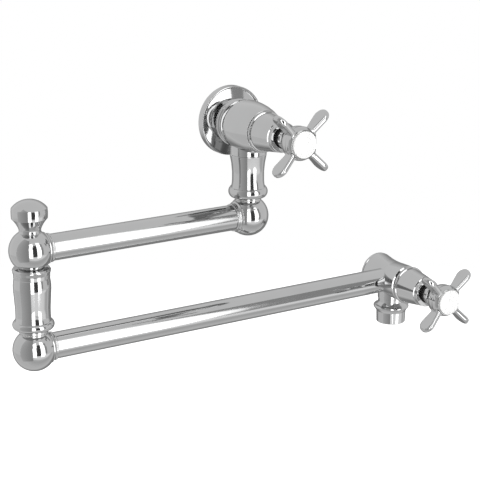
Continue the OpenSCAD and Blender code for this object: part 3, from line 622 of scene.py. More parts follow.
@dataclass
class Places:
    """Axes and heights of the object, read from the frame, in metres."""

    arm_y: float
    upper_z: float
    lower_z: float
    elbow_x: float
    outlet_x: float
    wall_head: float
    end_head: float
    ball_r: float

    @classmethod
    def read(cls) -> "Places":
        """Reads the places from the boxes of the nodes."""
        low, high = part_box("lower_arm_ball")
        ball_r = (high.y - low.y) / 2
        tube_low, tube_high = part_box("upper_arm_tube")
        nozzle_low, nozzle_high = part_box("outlet_nozzle")
        return cls(
            arm_y=(low.y + high.y) / 2,
            upper_z=(tube_low.z + tube_high.z) / 2,
            lower_z=low.z + ball_r,
            elbow_x=low.x + ball_r,
            outlet_x=(nozzle_low.x + nozzle_high.x) / 2,
            wall_head=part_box("wall_bonnet")[1].y,
            end_head=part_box("end_bonnet")[1].y,
            ball_r=ball_r,
        )

    def on_arm(self, x: float, z: float, facing: Facing) -> Seat:
        """Seat in the plane of the arms."""
        return Seat(Vector((x, self.arm_y, z)), facing)


@dataclass
class WallFlange:
    """Cover plate against the wall, gently domed inside its rim."""

    radius: float = 30.4
    thickness: float = 7.0
    hole: float = 13.6
    rim_soft: float = 1.0
    dome_r: float = 118.0
    dome_edge: float = 28.2
    dome_end: float = 17.0
    rim_step: float = 1.6

    def dome(self, r: float) -> float:
        """Height of the domed face at distance r from the axis."""
        edge = self.thickness - self.rim_step
        return edge + (self.dome_edge**2 - r**2) / (2 * self.dome_r)

    def build(self) -> None:
        """Turns the plate with its rolled rim and its domed face."""
        rim, face = self.dome_edge, self.thickness
        sag = (self.dome_edge - self.dome_end) ** 2 / (8 * self.dome_r)
        knots = [
            Knot(self.hole, 1), Knot(17.2, 1), Knot(17.2, 4.2), Knot(rim, 4.2, 0.8),
            Knot(rim, 0), Knot(self.radius, 0, 0.2), Knot(self.radius, face, self.rim_soft),
            Knot(rim + 0.5, face, 0.4), Knot(rim, face - self.rim_step, 0.15, sag),
            Knot(self.dome_end, self.dome(self.dome_end), 0.3),
            Knot(self.hole, self.dome(self.dome_end), 0.25),
        ]
        piece = turn("flange_plate", Seat(Vector((0, 0, 0)), Facing.OUT), knots, FINE_STEPS)
        finished(piece, CHROME, Body.WALL_VALVE, "wall_flange")


# How a spoke's root flares, step by step: way inwards in mm, growth of its width and its depth
FLARE = (
    (0.5, 1.0, 1.02), (0.45, 1.01, 1.05), (0.4, 1.02, 1.09), (0.35, 1.03, 1.14),
    (0.3, 1.05, 1.2), (0.8, 1.08, 1.3),
)


@dataclass
class CrossHandle:
    """Cross handle: bell-shaped hub and four spoon-shaped spokes."""

    seat: Seat
    reach: float = 34.9
    plane: float = 53.5
    paddle_r: float = 7.45
    paddle_corners: int = 96
    root_r: float = 4.5
    thickness: float = 5.2
    edge_round: float = 2.0
    edge_steps: int = 7
    sharp_from: float = 60.0
    broad_from: int = 20
    face_inset: float = 0.3
    root_at: float = 11.0
    flare_from: float = 15.4
    flare_rise: float = 0.03
    flare_front: float = 5.4
    spokes: int = 4
    first_angle: float = 45.0

    def hub(self) -> Piece:
        """Turns the hub: skirt, step, bell, shoulder and the button's seat."""
        knots = [
            Knot(4.65, 32), Knot(8.3, 32, 0.4), Knot(8.3, 35.6, 0.15), Knot(8.6, 36, 0.2),
            Knot(8.6, 36.6, 0.4, -1.0), Knot(13.2, 44.9, 0.8, 0.3), Knot(14, 51.5, 3.0, 0.9),
            Knot(12.5, 58.2, 0.5), Knot(12.2, 58.7, 0.25), Knot(11.35, 58.7, 0.15),
            Knot(11.35, 56.2), Knot(4.2, 56.2), Knot(4.2, 49.3), Knot(2.2, 49.3),
            Knot(2.2, 44.7), Knot(4.65, 44.7),
        ]
        return turn("hub", self.seat, knots)

    def spoke(self) -> Piece:
        """Shapes one spoke along +X from a disc.

        Returns:
            The spoke, wide along the valve's axis, with rounded edges and a flared root.
        """
        centre_x = self.reach - self.paddle_r
        middle = self.seat.origin + self.seat.axis * self.plane * MM
        paddle = middle + Vector((centre_x * MM, 0, -self.thickness / 2 * MM))
        rest_all()
        circle(paddle, self.paddle_r * MM, self.paddle_corners)
        piece = settle("spoke")
        edit()
        slope = (self.paddle_r - self.root_r) / (centre_x - self.root_at)
        limit = paddle.x - slope * self.paddle_r * MM - 1e-7
        select_where(piece, lambda p: p.x < limit)
        share = self.root_r / self.paddle_r
        bpy.ops.transform.resize(value=(share,) * 3, center_override=paddle)
        bpy.ops.transform.translate(value=((self.root_at - centre_x) * MM, 0, 0))
        select_mesh()
        push(Vector((0, 0, self.thickness * MM)))
        select_mesh()
        bpy.ops.mesh.normals_make_consistent(inside=False)
        bpy.ops.mesh.select_mode(type="EDGE")
        select_mesh(False)
        bpy.ops.mesh.edges_select_sharp(sharpness=math.radians(self.sharp_from))
        bpy.ops.mesh.bevel(
            offset=self.edge_round * MM, offset_type="OFFSET", segments=self.edge_steps,
            affect="EDGES",
        )
        self._hold_faces(piece)
        self._flare_root(piece, middle)
        smooth(piece)
        return piece

    def _hold_faces(self, piece: Piece) -> None:
        """Insets the two broad faces, which have the most corners, so that they shade flat."""
        bpy.ops.mesh.select_mode(type="FACE")
        select_mesh(False)
        mode("OBJECT")
        for face in piece.data.polygons:
            face.select = len(face.vertices) > self.broad_from
        mode("EDIT")
        bpy.ops.mesh.inset(thickness=self.face_inset * MM)

    def _flare_root(self, piece: Piece, middle: Vector) -> None:
        """Cuts the spoke off outside the hub and flares it into the hub's side.

        Args:
            piece: The spoke, in edit mode.
            middle: Where the valve's axis meets the plane of the spokes.
        """
        cut = middle + Vector((self.flare_from * MM, 0, 0))
        select_mesh()
        bpy.ops.mesh.bisect(plane_co=cut, plane_no=(1, 0, 0), use_fill=False, clear_inner=True)
        select_where(piece, lambda p: p.x < cut.x + 1e-6)
        front = cut + self.seat.axis * self.flare_front * MM
        for step, wide, thick in FLARE:
            push(Vector((-step * MM, self.flare_rise * MM, 0)))
            bpy.ops.transform.resize(value=(1, wide, thick), center_override=front)
        bpy.ops.mesh.edge_face_add()

    def build(self, name: str, body: Body, node: str) -> None:
        """Models the handle.

        Args:
            name: Name of the piece.
            body: The body that it rides on.
            node: The CAD node that it replaces.
        """
        first = self.spoke()
        spokes = [first]
        for _ in range(self.spokes - 1):
            pick(first)
            bpy.ops.object.duplicate(linked=False)
            spokes.append(bpy.context.object)
        for i, piece in enumerate(spokes):
            pick(piece)
            bpy.ops.transform.rotate(
                value=math.radians(self.first_angle + i * 360 / self.spokes), orient_axis="Y",
                center_override=self.seat.origin,
            )
            bpy.ops.object.transform_apply(location=True, rotation=True, scale=True)
        finished(join(name, self.hub(), *spokes), CHROME, body, node)


@dataclass
class ValveHead:
    """Bonnet, black stop ring, handle and button on the front of either valve."""

    seat: Seat
    prefix: str
    fixed: Body
    turning: Body
    ring_teeth: int = 30
    ring_r: float = 8.2
    ring_hole: float = 5.3
    ring_from: float = 25.0
    ring_h: float = 5.5
    ring_notch: float = 0.92
    ring_edge: float = 0.14
    ring_edge_steps: int = 2
    ring_sharp_from: float = 25.0
    base_r: float = 8.65
    base_h: float = 0.6

    def bonnet(self) -> None:
        """Turns the cone with the ring at its foot and two fine rings at its nose."""
        knots = [
            Knot(14.4, 0), Knot(17.2, 0, 0.25, 0.3), Knot(17.2, 2.45, 0.15),
            Knot(16.25, 2.72, 0.12), Knot(13.3, 23.6, 0.12), Knot(12.5, 24.1, 0.1),
            Knot(12.75, 24.5, 0.1), Knot(12.75, 25.9, 0.06), Knot(12.5, 26.15, 0.06),
            Knot(12.75, 26.4, 0.06), Knot(12.75, 28.5, 0.3), Knot(9.0, 28.6, 0.3),
            Knot(8.7, 28.4, 0.1), Knot(8.7, 25.3), Knot(9.8, 25.3), Knot(9.8, 14),
            Knot(11.2, 14), Knot(14.4, 5),
        ]
        piece = turn(f"{self.prefix}_cone", self.seat, knots)
        finished(piece, CHROME, self.fixed, f"{self.prefix}_bonnet")

    def stop_ring(self) -> None:
        """Models the serrated ring from a notched circle bridged to a round one."""
        start = self.seat.at(0, self.ring_from)
        turned = (math.pi / 2, 0, 0)
        count = 2 * self.ring_teeth
        rest_all()
        circle(start, self.ring_r * MM, count, turned, filled=False)
        piece = settle(f"{self.prefix}_serrated_ring")
        edit(False)
        mode("OBJECT")
        for vertex in list(piece.data.vertices)[::2]:
            vertex.select = True
        mode("EDIT")
        notch = self.ring_notch
        bpy.ops.transform.resize(value=(notch, 1, notch), center_override=start)
        circle(start, self.ring_hole * MM, count, turned, filled=False)
        select_mesh()
        bpy.ops.mesh.bridge_edge_loops()
        select_mesh()
        push(self.seat.axis * self.ring_h * MM)
        select_mesh()
        bpy.ops.mesh.normals_make_consistent(inside=False)
        mode("OBJECT")
        bpy.ops.object.modifier_add(type="BEVEL")
        bevel = piece.modifiers[-1]
        bevel.width, bevel.segments = self.ring_edge * MM, self.ring_edge_steps
        bevel.angle_limit = math.radians(self.ring_sharp_from)
        bpy.ops.object.modifier_apply(modifier=bevel.name)
        base = tube(self.ring_hole, self.base_r, self.ring_from, self.ring_from + self.base_h)
        piece = join(piece.name, piece, turn("ring_base", self.seat, base))
        finished(piece, BLACK_PLASTIC, self.fixed, f"{self.prefix}_stop_ring")

    def button(self) -> None:
        """Turns the domed porcelain button."""
        knots = [
            Knot(0, 56.2), Knot(11.25, 56.2, 0.3), Knot(11.25, 60.3, 0.7, cap_sag(11.25, 1.7)),
            Knot(0, 62.0),
        ]
        piece = turn(f"{self.prefix}_button", self.seat, knots)
        finished(piece, PORCELAIN, self.turning, f"{self.prefix}_index_button")

    def build(self) -> None:
        """Builds the whole head."""
        self.bonnet()
        self.stop_ring()
        CrossHandle(self.seat).build(
            f"{self.prefix}_cross_handle", self.turning, f"{self.prefix}_handle"
        )
        self.button()


def swivel_foot(low: float, high: float, bulge: float, foot_r: float) -> list[Knot]:
    """Outline of the neck and bead at the foot of a post, from the swivel's face up.

    Args:
        low: Height where the bead begins, in millimetres.
        high: Height where it ends.
        bulge: How far the bead bows outwards.
        foot_r: Radius of the post where it meets the bead.

    Returns:
        The knots, the last one in the crease above the bead.
    """
    return [
        Knot(9.0, 15.5), Knot(12.1, 15.5, 0.3), Knot(12.1, low - 0.8, 0.4, -0.2),
        Knot(15.2, low, 0.4, bulge), Knot(15.7, high, 0.25), Knot(foot_r, high + 0.3, 0.2, -0.12),
    ]


@dataclass
class WallValve:
    """Turned wall body with its boss and the post that hangs from it."""

    places: Places
    boss_r: float = 16.0
    boss_drop: float = 24.0

    def inlet_thread(self) -> list[Knot]:
        """Outline of the half-inch thread in the back of the body, from its depth outwards."""
        turns, pitch = 9, 1.81
        knots = []
        for i in range(turns, 0, -1):
            knots += [Knot(10.5, i * pitch + 0.9), Knot(9.6, i * pitch)]
        return knots

    def body(self) -> None:
        """Turns the bulb with its rear lip, and the boss below it."""
        front = -(self.places.wall_head) / MM
        knots = [
            Knot(10.5, 0.6, 0.2), Knot(11.2, 0), Knot(13.4, 0, 0.4), Knot(13.4, 11.5, 0.2),
            Knot(20.1, 12.25, 0.5, 0.82), Knot(20.2, 16.4, 0.12, -0.8), Knot(20.2, 19.6, 0.4, 0.5),
            Knot(22.4, 31, 8.0, 1.2), Knot(18, front, 0.3), Knot(5.5, front), Knot(5.5, 18),
            Knot(10.5, 18), *self.inlet_thread(),
        ]
        bulb = turn("bulb", Seat(Vector((0, 0, 0)), Facing.OUT), knots, FINE_STEPS)
        seat = self.places.on_arm(0, 0, Facing.DOWN)
        boss = turn("boss", seat, tube(0, self.boss_r, 12, self.boss_drop, (0, 0.3)))
        piece = join("wall_valve_bulb", bulb, boss)
        finished(piece, CHROME, Body.WALL_VALVE, "wall_body")

    def post(self) -> None:
        """Turns the post, waisted above its bead."""
        top = -self.places.upper_z / MM - self.boss_drop
        knots = [
            *swivel_foot(17.5, 25.5, 1.62, 14.7), Knot(13.88, 31.3, 6.0, -0.84),
            Knot(16, top - 0.5, 0.4), Knot(15.6, top, 0.2), Knot(6, top), Knot(6, 42), Knot(9, 42),
        ]
        seat = self.places.on_arm(0, self.places.upper_z, Facing.UP)
        finished(turn("hanging_post", seat, knots), CHROME, Body.WALL_VALVE, "wall_post")


@dataclass
class ArmBall:
    """Ball with the flared collar that holds an arm tube."""

    places: Places
    x: float
    z: float
    side: Facing
    swivel_cut: float = 14.9
    finial_cut: float = 15.3
    column_cut: float = 10.5

    def shell(self) -> Piece:
        """Turns ball and collar in one about the arm."""
        radius = self.places.ball_r / MM
        root = 13.5
        knots = [
            *sphere(radius, -radius, math.sqrt(radius**2 - root**2)),
            Knot(root, 12.6, 0.35), Knot(13.1, 13, 0.15, -0.3), Knot(12.0, 15, 0.12),
            Knot(11.8, 15.05, 0.1, 0.25), Knot(11.8, 17, 0.2), Knot(11.12, 17, 0.08),
            Knot(11.12, 12.5), Knot(0, 12.5),
        ]
        return turn("ball", self.places.on_arm(self.x, self.z, self.side), knots, BALL_STEPS)

    def swivel(self, name: str, body: Body, node: str) -> None:
        """Builds a ball that turns under a post.

        Args:
            name: Name of the piece.
            body: The body that it rides on.
            node: The CAD node that it replaces.
        """
        seat = self.places.on_arm(self.x, self.z, Facing.UP)
        ball = self.shell()
        slice_off(ball, seat.at(0, self.swivel_cut), seat.axis)
        neck = [
            Knot(6, 11), Knot(11.4, 11), Knot(11.4, 15, 0.2), Knot(8.95, 15), Knot(8.95, 41, 0.4),
            Knot(6, 41),
        ]
        piece = join(name, ball, turn("spigot", seat, neck))
        finished(piece, CHROME, body, node)

    def elbow(self, name: str) -> None:
        """Builds the upper elbow ball, cut flat above and below."""
        seat = self.places.on_arm(self.x, self.z, Facing.UP)
        ball = self.shell()
        slice_off(ball, seat.at(0, self.finial_cut), seat.axis)
        slice_off(ball, seat.at(0, -self.column_cut), -seat.axis)
        ball.name = name
        finished(ball, CHROME, Body.UPPER_ARM, "elbow_ball")


@dataclass
class Elbow:
    """Finial, groove ring and bulging column at the elbow."""

    places: Places
    ball_cut: float = ArmBall.column_cut
    ring_h: float = 3.7
    ring_r: float = 10.4

    def finial(self) -> None:
        """Turns the mushroom-shaped finial."""
        knots = [
            Knot(0, 15.2), Knot(9.3, 15.2, 0.2), Knot(9.3, 15.7, 0.15), Knot(9.0, 15.9, 0.1),
            Knot(8.95, 18.2, 4.0, -0.5), Knot(14.2, 26.9, 0.35),
            Knot(14.6, 27.3, 0.4, 0.2), Knot(14.6, 35.5, 0.9, cap_sag(14.6, 7.1)), Knot(0, 42.6),
        ]
        seat = self.places.on_arm(self.places.elbow_x, self.places.upper_z, Facing.UP)
        finished(turn("mushroom_finial", seat, knots), CHROME, Body.UPPER_ARM, "elbow_finial")

    def column(self) -> None:
        """Turns the ring in the groove and the column below it."""
        seat = self.places.on_arm(self.places.elbow_x, self.places.lower_z, Facing.UP)
        drop = (self.places.upper_z - self.places.lower_z) / MM
        top = drop - self.ball_cut - self.ring_h
        knots = [
            *swivel_foot(18.8, 25.1, 1.75, 14.85), Knot(14.4, 30, 30.0), Knot(14.4, 35.6, 60.0),
            Knot(15.7, 55.4, 40.0), Knot(14.75, 61.9, 0.1), Knot(14.95, 62.3, 0.1),
            Knot(15.1, 65.1, 0.15), Knot(14.85, 65.4, 0.08), Knot(15.2, 65.7, 0.12),
            Knot(15.95, top - 1.6, 0.6), Knot(14.9, top, 0.4), Knot(6, top), Knot(6, 42),
            Knot(9, 42),
        ]
        finished(turn("bulging_column", seat, knots), CHROME, Body.UPPER_ARM, "elbow_column")
        side, foot = self.ring_r, self.ring_h
        knots = [
            Knot(8.95, top), Knot(side, top, 0.2, 0.5), Knot(side, top + foot, 0.2),
            Knot(8.95, top + foot),
        ]
        finished(turn("groove_ring", seat, knots), CHROME, Body.UPPER_ARM, "elbow_ring")


@dataclass
class ArmTubes:
    """The two straight arm tubes."""

    places: Places
    inner_r: float = 9.8

    def build(self) -> None:
        """Turns both tubes from the ends of their nodes."""
        rows = (
            ("upper_tube", "upper_arm_tube", Body.UPPER_ARM, self.places.upper_z),
            ("lower_tube", "lower_arm_tube", Body.LOWER_ARM, self.places.lower_z),
        )
        for name, node, body, z in rows:
            low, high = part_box(node)
            outer, span = (high.z - low.z) / 2 / MM, (high.x - low.x) / MM
            seat = self.places.on_arm(low.x, z, Facing.RIGHT)
            piece = turn(name, seat, tube(self.inner_r, outer, 0, span, (0.2, 0.2)))
            finished(piece, CHROME, body, node)


@dataclass
class EndValve:
    """Bell-shaped end valve body with the outlet below it."""

    places: Places
    boss_r: float = 12.8
    boss_drop: float = 18.5

    def body(self) -> None:
        """Turns the bell and its outlet boss."""
        front = -self.places.end_head / MM
        knots = [
            Knot(0, 8), Knot(16.6, 8, 0.6, 0.4), Knot(18.8, 9.9, 0.5), Knot(18.8, 11.4, 0.4),
            Knot(18.35, 11.8, 0.1), Knot(18.65, 12.3, 0.2, -0.7), Knot(16.4, 36, 6.0, 0.1),
            Knot(17.0, front - 3.2, 0.2), Knot(14.9, front - 1.8, 0.15), Knot(14.3, front - 1.2),
            Knot(14.3, front), Knot(0, front),
        ]
        x, z = self.places.outlet_x, self.places.lower_z
        bell = turn("bell", Seat(Vector((x, 0, z)), Facing.OUT), knots, FINE_STEPS)
        knots = tube(0, self.boss_r, 8, self.boss_drop, (0, 0.2))
        boss = turn("outlet_boss", self.places.on_arm(x, z, Facing.DOWN), knots)
        piece = join("end_valve_bell", bell, boss)
        finished(piece, CHROME, Body.LOWER_ARM, "end_valve_body")

    def outlet(self) -> None:
        """Turns the nozzle and the aerator's housing in its mouth."""
        seat = self.places.on_arm(self.places.outlet_x, self.places.lower_z, Facing.DOWN)
        knots = [
            Knot(6, 18.5), Knot(12.3, 18.5, 0.2), Knot(12.3, 21.8, 0.3, -0.5),
            Knot(15.6, 25.2, 0.4, 0.9), Knot(15.6, 28.2, 0.5, 0.1), Knot(13.75, 31.2, 0.6),
            Knot(13.4, 41.99, 0.6), Knot(11.75, 41.99, 0.3), Knot(11.75, 28.5), Knot(6, 28.5),
        ]
        finished(turn("outlet_spout", seat, knots), CHROME, Body.LOWER_ARM, "outlet_nozzle")
        knots = [
            Knot(10.1, 30), Knot(11.7, 30), Knot(11.7, 41.6, 0.4), Knot(9.1, 41.6, 0.4),
            Knot(9.1, 39.8), Knot(10.1, 39.8),
        ]
        finished(turn("aerator_housing", seat, knots), CHROME, Body.LOWER_ARM, "aerator_shell")


class CarriedOver:
    """CAD nodes that stay as they are and only get a finish."""

    FINISHES = {
        finish.slot: finish
        for finish in (
            CHROME, PORCELAIN, BLACK_PLASTIC, RUBBER, BRASS, CERAMIC, STEEL, SLIPPERY,
            CLEAR_PLASTIC,
        )
    }

    def dress(self, frame: dict) -> None:
        """Gives every node the finish of its slot in the record.
        """
        slots = {part["node"]: part["material_slot"] for part in frame["record"]["subparts"]}
        for name, node in frame["nodes"].items():
            finish = self.FINISHES[slots[name]]
            if not node.data.materials:
                node.data.materials.append(None)
            for slot in node.material_slots:
                slot.material = finish.material()
        log.info("dressed %d nodes", len(frame["nodes"]))


# Studio and camera


@dataclass(frozen=True)
class Card:
    """A card of even tone that only reflections see.

    Attributes:
        name: Name of the card.
        tone: Radiance, where the white room is 1.
        low: Lowest corner, in metres.
        high: Highest corner, in metres.
        lean: How far the upper left and the upper right corner stand further right.
    """

    name: str
    tone: float
    low: tuple[float, float, float]
    high: tuple[float, float, float]
    lean: tuple[float, float] = (0.0, 0.0)

    def build(self) -> None:
        """Adds the card as a plane across the Y axis and leans its sides."""
        low, high = Vector(self.low), Vector(self.high)
        middle = (low + high) / 2
        rest_all()
        bpy.ops.mesh.primitive_plane_add(size=1, location=middle, rotation=(math.pi / 2, 0, 0))
        card = bpy.context.object
        card.scale = (high.x - low.x, high.z - low.z, 1)
        card = settle(self.name)
        edit(False)
        for side, shift in zip((-1, 1), self.lean):
            if shift:
                select_where(card, lambda p: p.z > middle.z and (p.x - middle.x) * side > 0)
                bpy.ops.transform.translate(value=(shift, 0, 0))
        mode("OBJECT")
        material, _, glow = emitter(self.name)
        fill(glow, {"Strength": self.tone})
        hide_card(card, material)


def emitter(name: str) -> tuple[bpy.types.Material, Graph, bpy.types.Node]:
    """Starts a material that only glows.

    Args:
        name: Name of the material.

    Returns:
        The material, its graph and its Emission node.
    """
    material = bpy.data.materials.new(name)
    material.use_nodes = True
    graph, nodes = Graph(material.node_tree), material.node_tree.nodes
    nodes.remove(nodes["Principled BSDF"])
    glow = graph.add("Emission")
    graph.join(glow, nodes["Material Output"], "Surface")
    return material, graph, glow


def stepped(graph: Graph, source: bpy.types.Node, out: str, stops: Stops) -> bpy.types.Node:
    """Maps a value through stops with straight runs between them.

    Args:
        graph: Graph of the material.
        source: The node that gives the value.
        out: Its output.
        stops: Pairs of a value and what it becomes, in rising order.

    Returns:
        The node whose first output is the mapped value.
    """
    total: bpy.types.Node | None = None
    for (start, first), (end, last) in zip(stops, stops[1:]):
        low, high = (first, last) if total is None else (0.0, last - first)
        span = graph.add(
            "MapRange", {"From Min": start, "From Max": end, "To Min": low, "To Max": high}
        )
        graph.join(source, span, "Value", out)
        if total is None:
            total = span
            continue
        add = graph.add("Math")
        graph.join(total, add, 0)
        graph.join(span, add, 1)
        total = add
    return total


def stepped_by_depth(graph: Graph, stops: Stops) -> bpy.types.Node:
    """Adds nodes for a value with stops along the Y axis, and returns the last one."""
    split = graph.add("SeparateXYZ")
    graph.join(graph.add("TexCoord"), split, "Vector", "Object")
    return stepped(graph, split, "Y", stops)


def seen_directly(graph: Graph, ray: bpy.types.Node) -> bpy.types.Node:
    """Adds up camera, glossy and transmission rays.

    Args:
        graph: Graph of the material or world.
        ray: Its Light Path node, whose first output is for camera rays.

    Returns:
        A node whose first output is 1 for such a ray and 0 for any other.
    """
    total = ray
    for name in ("Is Glossy Ray", "Is Transmission Ray"):
        add = graph.add("Math", operation="ADD")
        add.use_clamp = True
        graph.join(total, add, 0)
        graph.join(ray, add, 1, name)
        total = add
    return total


def hide_card(card: Piece, material: bpy.types.Material) -> None:
    """Makes a card seen by reflections alone."""
    card.data.materials.append(material)
    card.visible_camera = card.visible_diffuse = card.visible_shadow = False


@dataclass
class Studio:
    """White room with two soft windows in front, dark cards and a pale floor.

    Sizes are in metres. Tones are radiances, where the white room is 1. The stops of the rear
    card run outwards from its centre, those of the floor and the curtain run along the Y axis.
    The floor's and the curtain's stops are painted light: how brightly reflections see them glow
    changes along the room's depth.
    """

    wall_y: float = -3.03
    card_gap: float = 0.01
    window_tone: float = 2.3
    watts_per_tone: float = 4.0
    window_low: float = -1.57
    window_high: float = 3.6
    left_window: tuple[float, float] = (-2.08, -0.9)
    right_window: tuple[float, float] = (0.44, 1.62)
    right_lean: float = 0.36
    flag_tone: float = 0.087
    flag_span: tuple[float, float] = (-1.15, 2.25)
    screen_tone: float = 0.45
    screen_span: tuple[float, float] = (-1.0, 2.75)
    screen_edge: float = 2.65
    screen_lean: float = 0.3
    # Painted light on the curtain: its glow rises from the first tone at its start to the second
    # at curtain_lit_y
    curtain_tones: tuple[float, float] = (0.44, 0.74)
    curtain_lit_y: float = 0.36
    curtain_r: float = 2.6
    curtain_h: float = 8.2
    curtain_foot: float = 0.05
    curtain_from: float = -37.0
    curtain_to: float = -100.0
    curtain_steps: int = 24
    rear_tones: Stops = ((0.0, 0.24), (1.02, 0.36), (1.6, 0.75), (2.25, 1.0))
    rear_away: float = 1.3
    rear_drop: float = 0.45
    rear_corners: int = 64
    room_fill: float = 0.62
    floor_z: float = -2.6
    floor_r: float = 8.0
    floor_corners: int = 96
    floor_paint: float = 0.8
    floor_glow: float = 0.8
    # Painted light on the floor as reflections see it: a glow along the Y axis, brightest at the
    # windows' end
    floor_painted_light: Stops = ((-4.5, 1.35), (-3.3, 1.2), (-2.8, 0.83), (-1.8, 0.72), (-0.3, 0.9))

    def windows(self) -> None:
        """Adds the two area lights."""
        for name, (left, right) in (("left", self.left_window), ("right", self.right_window)):
            width, height = right - left, self.window_high - self.window_low
            data = bpy.data.lights.new(f"{name}_window", "AREA")
            data.shape = "RECTANGLE"
            data.size, data.size_y = width, height
            data.energy = self.window_tone * self.watts_per_tone * width * height
            lamp = bpy.data.objects.new(f"{name}_window", data)
            middle = (self.window_low + self.window_high) / 2
            lamp.location = ((left + right) / 2, self.wall_y, middle)
            lamp.rotation_euler = (math.pi / 2, 0, 0)
            lamp.visible_camera = False
            bpy.context.scene.collection.objects.link(lamp)

    def cards(self) -> None:
        """Adds the flag between the windows, the right one's slanted side and the grey screen."""
        gap, edge = self.card_gap, self.right_window[1]
        y, low, high = self.wall_y + gap, self.window_low, self.window_high
        foot, head = self.flag_span
        flag = (self.left_window[1], y, foot), (self.right_window[0], y, head)
        Card("flag", self.flag_tone, *flag).build()
        lean = (0.0, self.right_lean)
        Card("slant", self.window_tone, (edge - gap, y, low), (edge, y, high), lean).build()
        slope = self.right_lean / (high - low)
        foot, head = self.screen_span
        left = edge + slope * (foot - low)
        screen = (left, y + gap, foot), (self.screen_edge, y + gap, head)
        lean = (slope * (head - foot), self.screen_lean)
        Card("screen", self.screen_tone, *screen, lean).build()

    def curtain(self) -> None:
        """Spins a grey curtain round the left side of the room, whose glow is painted light that
        grows brighter along the Y axis.
        """
        start = math.radians(self.curtain_from)
        sweep = math.radians(self.curtain_from - self.curtain_to)
        foot = Vector((math.sin(start), -math.cos(start), 0)) * self.curtain_r
        foot.z = self.floor_z + self.curtain_foot
        card = start_point("curtain_card", foot)
        push(Vector((0, 0, self.curtain_h)))
        select_mesh()
        steps = self.curtain_steps
        bpy.ops.mesh.spin(steps=steps, angle=sweep, center=(0, 0, 0), axis=(0, 0, 1))
        mode("OBJECT")
        material, graph, glow = emitter("curtain")
        # Painted light: the curtain's glow grows brighter along the Y axis
        stops = tuple(zip((foot.y, self.curtain_lit_y), self.curtain_tones))
        graph.join(stepped_by_depth(graph, stops), glow, "Strength")
        hide_card(card, material)

    def rear(self, toward: Vector) -> None:
        """Adds a round card behind the object, which darkens the edges of its outline.

        Args:
            toward: Direction in which the camera looks.
        """
        rest_all()
        middle = toward * self.rear_away - Vector((0, 0, self.rear_drop))
        facing = toward.to_track_quat("Z", "Y").to_euler()
        circle(middle, self.rear_tones[-1][0], self.rear_corners, facing)
        card = settle("rear_card")
        material, graph, glow = emitter("rear")
        away = graph.add("VectorMath", {1: middle}, "DISTANCE")
        graph.join(graph.add("TexCoord"), away, 0, "Object")
        graph.join(stepped(graph, away, "Value", self.rear_tones), glow, "Strength")
        hide_card(card, material)

    def floor(self) -> None:
        """Adds a pale floor that the camera sees white and that keeps the object's shadow.
        Reflections see painted light on it: a glow that runs along the Y axis and is brightest at
        the windows' end.
        """
        rest_all()
        circle(Vector((0, 0, self.floor_z)), self.floor_r, self.floor_corners)
        floor = settle("floor")
        material, graph, glow = emitter("pale_floor")
        paint = graph.add("BsdfDiffuse", {"Color": (*[self.floor_paint] * 3, 1)})
        ray, tone = graph.add("LightPath"), graph.add("Mix", {"B": self.floor_glow})
        graph.join(ray, tone, "Factor")
        # Painted light: reflections see the floor glow by these stops, the camera sees the even
        # floor_glow
        graph.join(stepped_by_depth(graph, self.floor_painted_light), tone, "A")
        share = graph.add("Math", operation="MULTIPLY")
        graph.join(tone, share, 0, "Result")
        graph.join(seen_directly(graph, ray), share, 1)
        graph.join(share, glow, "Strength")
        both, lit = graph.add("AddShader"), graph.add("MixShader")
        graph.join(paint, both, 0)
        graph.join(glow, both, 1)
        graph.join(ray, lit, "Fac", "Is Glossy Ray")
        graph.join(both, lit, 1)
        graph.join(glow, lit, 2)
        graph.join(lit, material.node_tree.nodes["Material Output"], "Surface")
        floor.data.materials.append(material)

    def room(self) -> None:
        """Makes the world white where it is seen and dimmer where it lights."""
        world = bpy.data.worlds.new("white_room")
        bpy.context.scene.world = world
        world.use_nodes = True
        world.node_tree.nodes.clear()
        graph = Graph(world.node_tree)
        back, sink = graph.add("Background", {"Color": (1, 1, 1, 1)}), graph.add("OutputWorld")
        span = graph.add("MapRange", {"To Min": self.room_fill, "To Max": 1.0})
        graph.join(seen_directly(graph, graph.add("LightPath")), span, "Value")
        graph.join(span, back, "Strength")
        graph.join(back, sink, "Surface")

    def build(self, toward: Vector) -> None:
        """Sets up the whole studio for a camera that looks in this direction."""
        self.room()
        self.floor()
        self.windows()
        self.cards()
        self.curtain()
        self.rear(toward)
        bpy.context.scene.view_settings.view_transform = "Standard"
        log.info("studio ready")


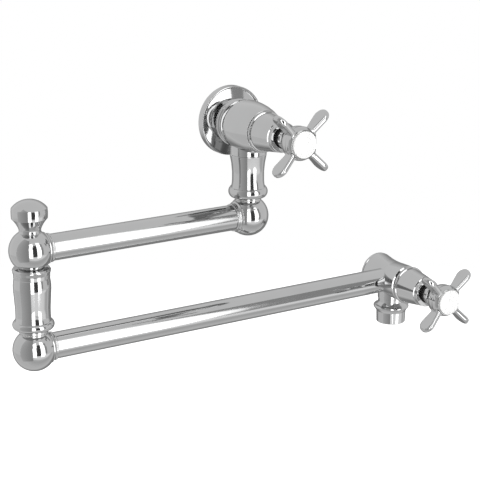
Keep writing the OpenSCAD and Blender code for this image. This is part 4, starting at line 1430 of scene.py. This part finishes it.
@dataclass
class PhotoCamera:
    """Camera at the photograph's place, for a frame of 480 by 480.

    Attributes:
        place: Position, in metres.
        yaw: Turn from straight at the wall towards the right, in degrees.
        pitch: Tilt below the horizon, in degrees.
        roll: Turn about the line of sight, in degrees.
        focal: Focal length, in pixels of the frame.
    """

    place: tuple[float, float, float] = (-0.68938, -1.12452, 0.27711)
    yaw: float = 31.96
    pitch: float = 16.35
    roll: float = 0.11
    focal: float = 1538.84
    frame_px: int = 480
    sensor: float = 36.0
    clip: tuple[float, float] = (0.05, 60.0)

    def turned(self) -> Matrix:
        """Rotation from the scene's axes to the camera's."""
        return (
            Matrix.Rotation(math.radians(-self.yaw), 4, "Z")
            @ Matrix.Rotation(math.radians(90 - self.pitch), 4, "X")
            @ Matrix.Rotation(math.radians(self.roll), 4, "Z")
        )

    def toward(self) -> Vector:
        """Direction in which the camera looks."""
        return self.turned() @ Vector((0, 0, -1))

    def build(self) -> None:
        """Adds the camera and makes it the scene's."""
        data = bpy.data.cameras.new("photo_camera")
        data.sensor_width = self.sensor
        data.lens = self.focal * self.sensor / self.frame_px
        data.clip_start, data.clip_end = self.clip
        camera = bpy.data.objects.new("photo_camera", data)
        bpy.context.scene.collection.objects.link(camera)
        camera.matrix_world = Matrix.Translation(self.place) @ self.turned()
        bpy.context.scene.camera = camera


def main() -> None:
    """Builds the object, the studio and the camera on the frame."""
    logging.basicConfig(level=logging.INFO, format="%(message)s")
    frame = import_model()
    camera = PhotoCamera()
    camera.build()
    Studio().build(camera.toward())
    CarriedOver().dress(frame)
    places = Places.read()
    WallFlange().build()
    wall = WallValve(places)
    wall.body()
    wall.post()
    head = Seat(Vector((0, places.wall_head, 0)), Facing.OUT)
    ValveHead(head, "wall", Body.WALL_VALVE, Body.WALL_TAP).build()
    ArmBall(places, 0, places.upper_z, Facing.LEFT).swivel(
        "wall_swivel_ball", Body.UPPER_ARM, "upper_arm_ball"
    )
    ArmBall(places, places.elbow_x, places.upper_z, Facing.RIGHT).elbow("elbow_upper_ball")
    elbow = Elbow(places)
    elbow.finial()
    elbow.column()
    ArmBall(places, places.elbow_x, places.lower_z, Facing.RIGHT).swivel(
        "elbow_lower_ball", Body.LOWER_ARM, "lower_arm_ball"
    )
    ArmTubes(places).build()
    end = EndValve(places)
    end.body()
    end.outlet()
    head = Seat(Vector((places.outlet_x, places.end_head, places.lower_z)), Facing.OUT)
    ValveHead(head, "end", Body.LOWER_ARM, Body.END_TAP).build()


if __name__ == "__main__":
    main()
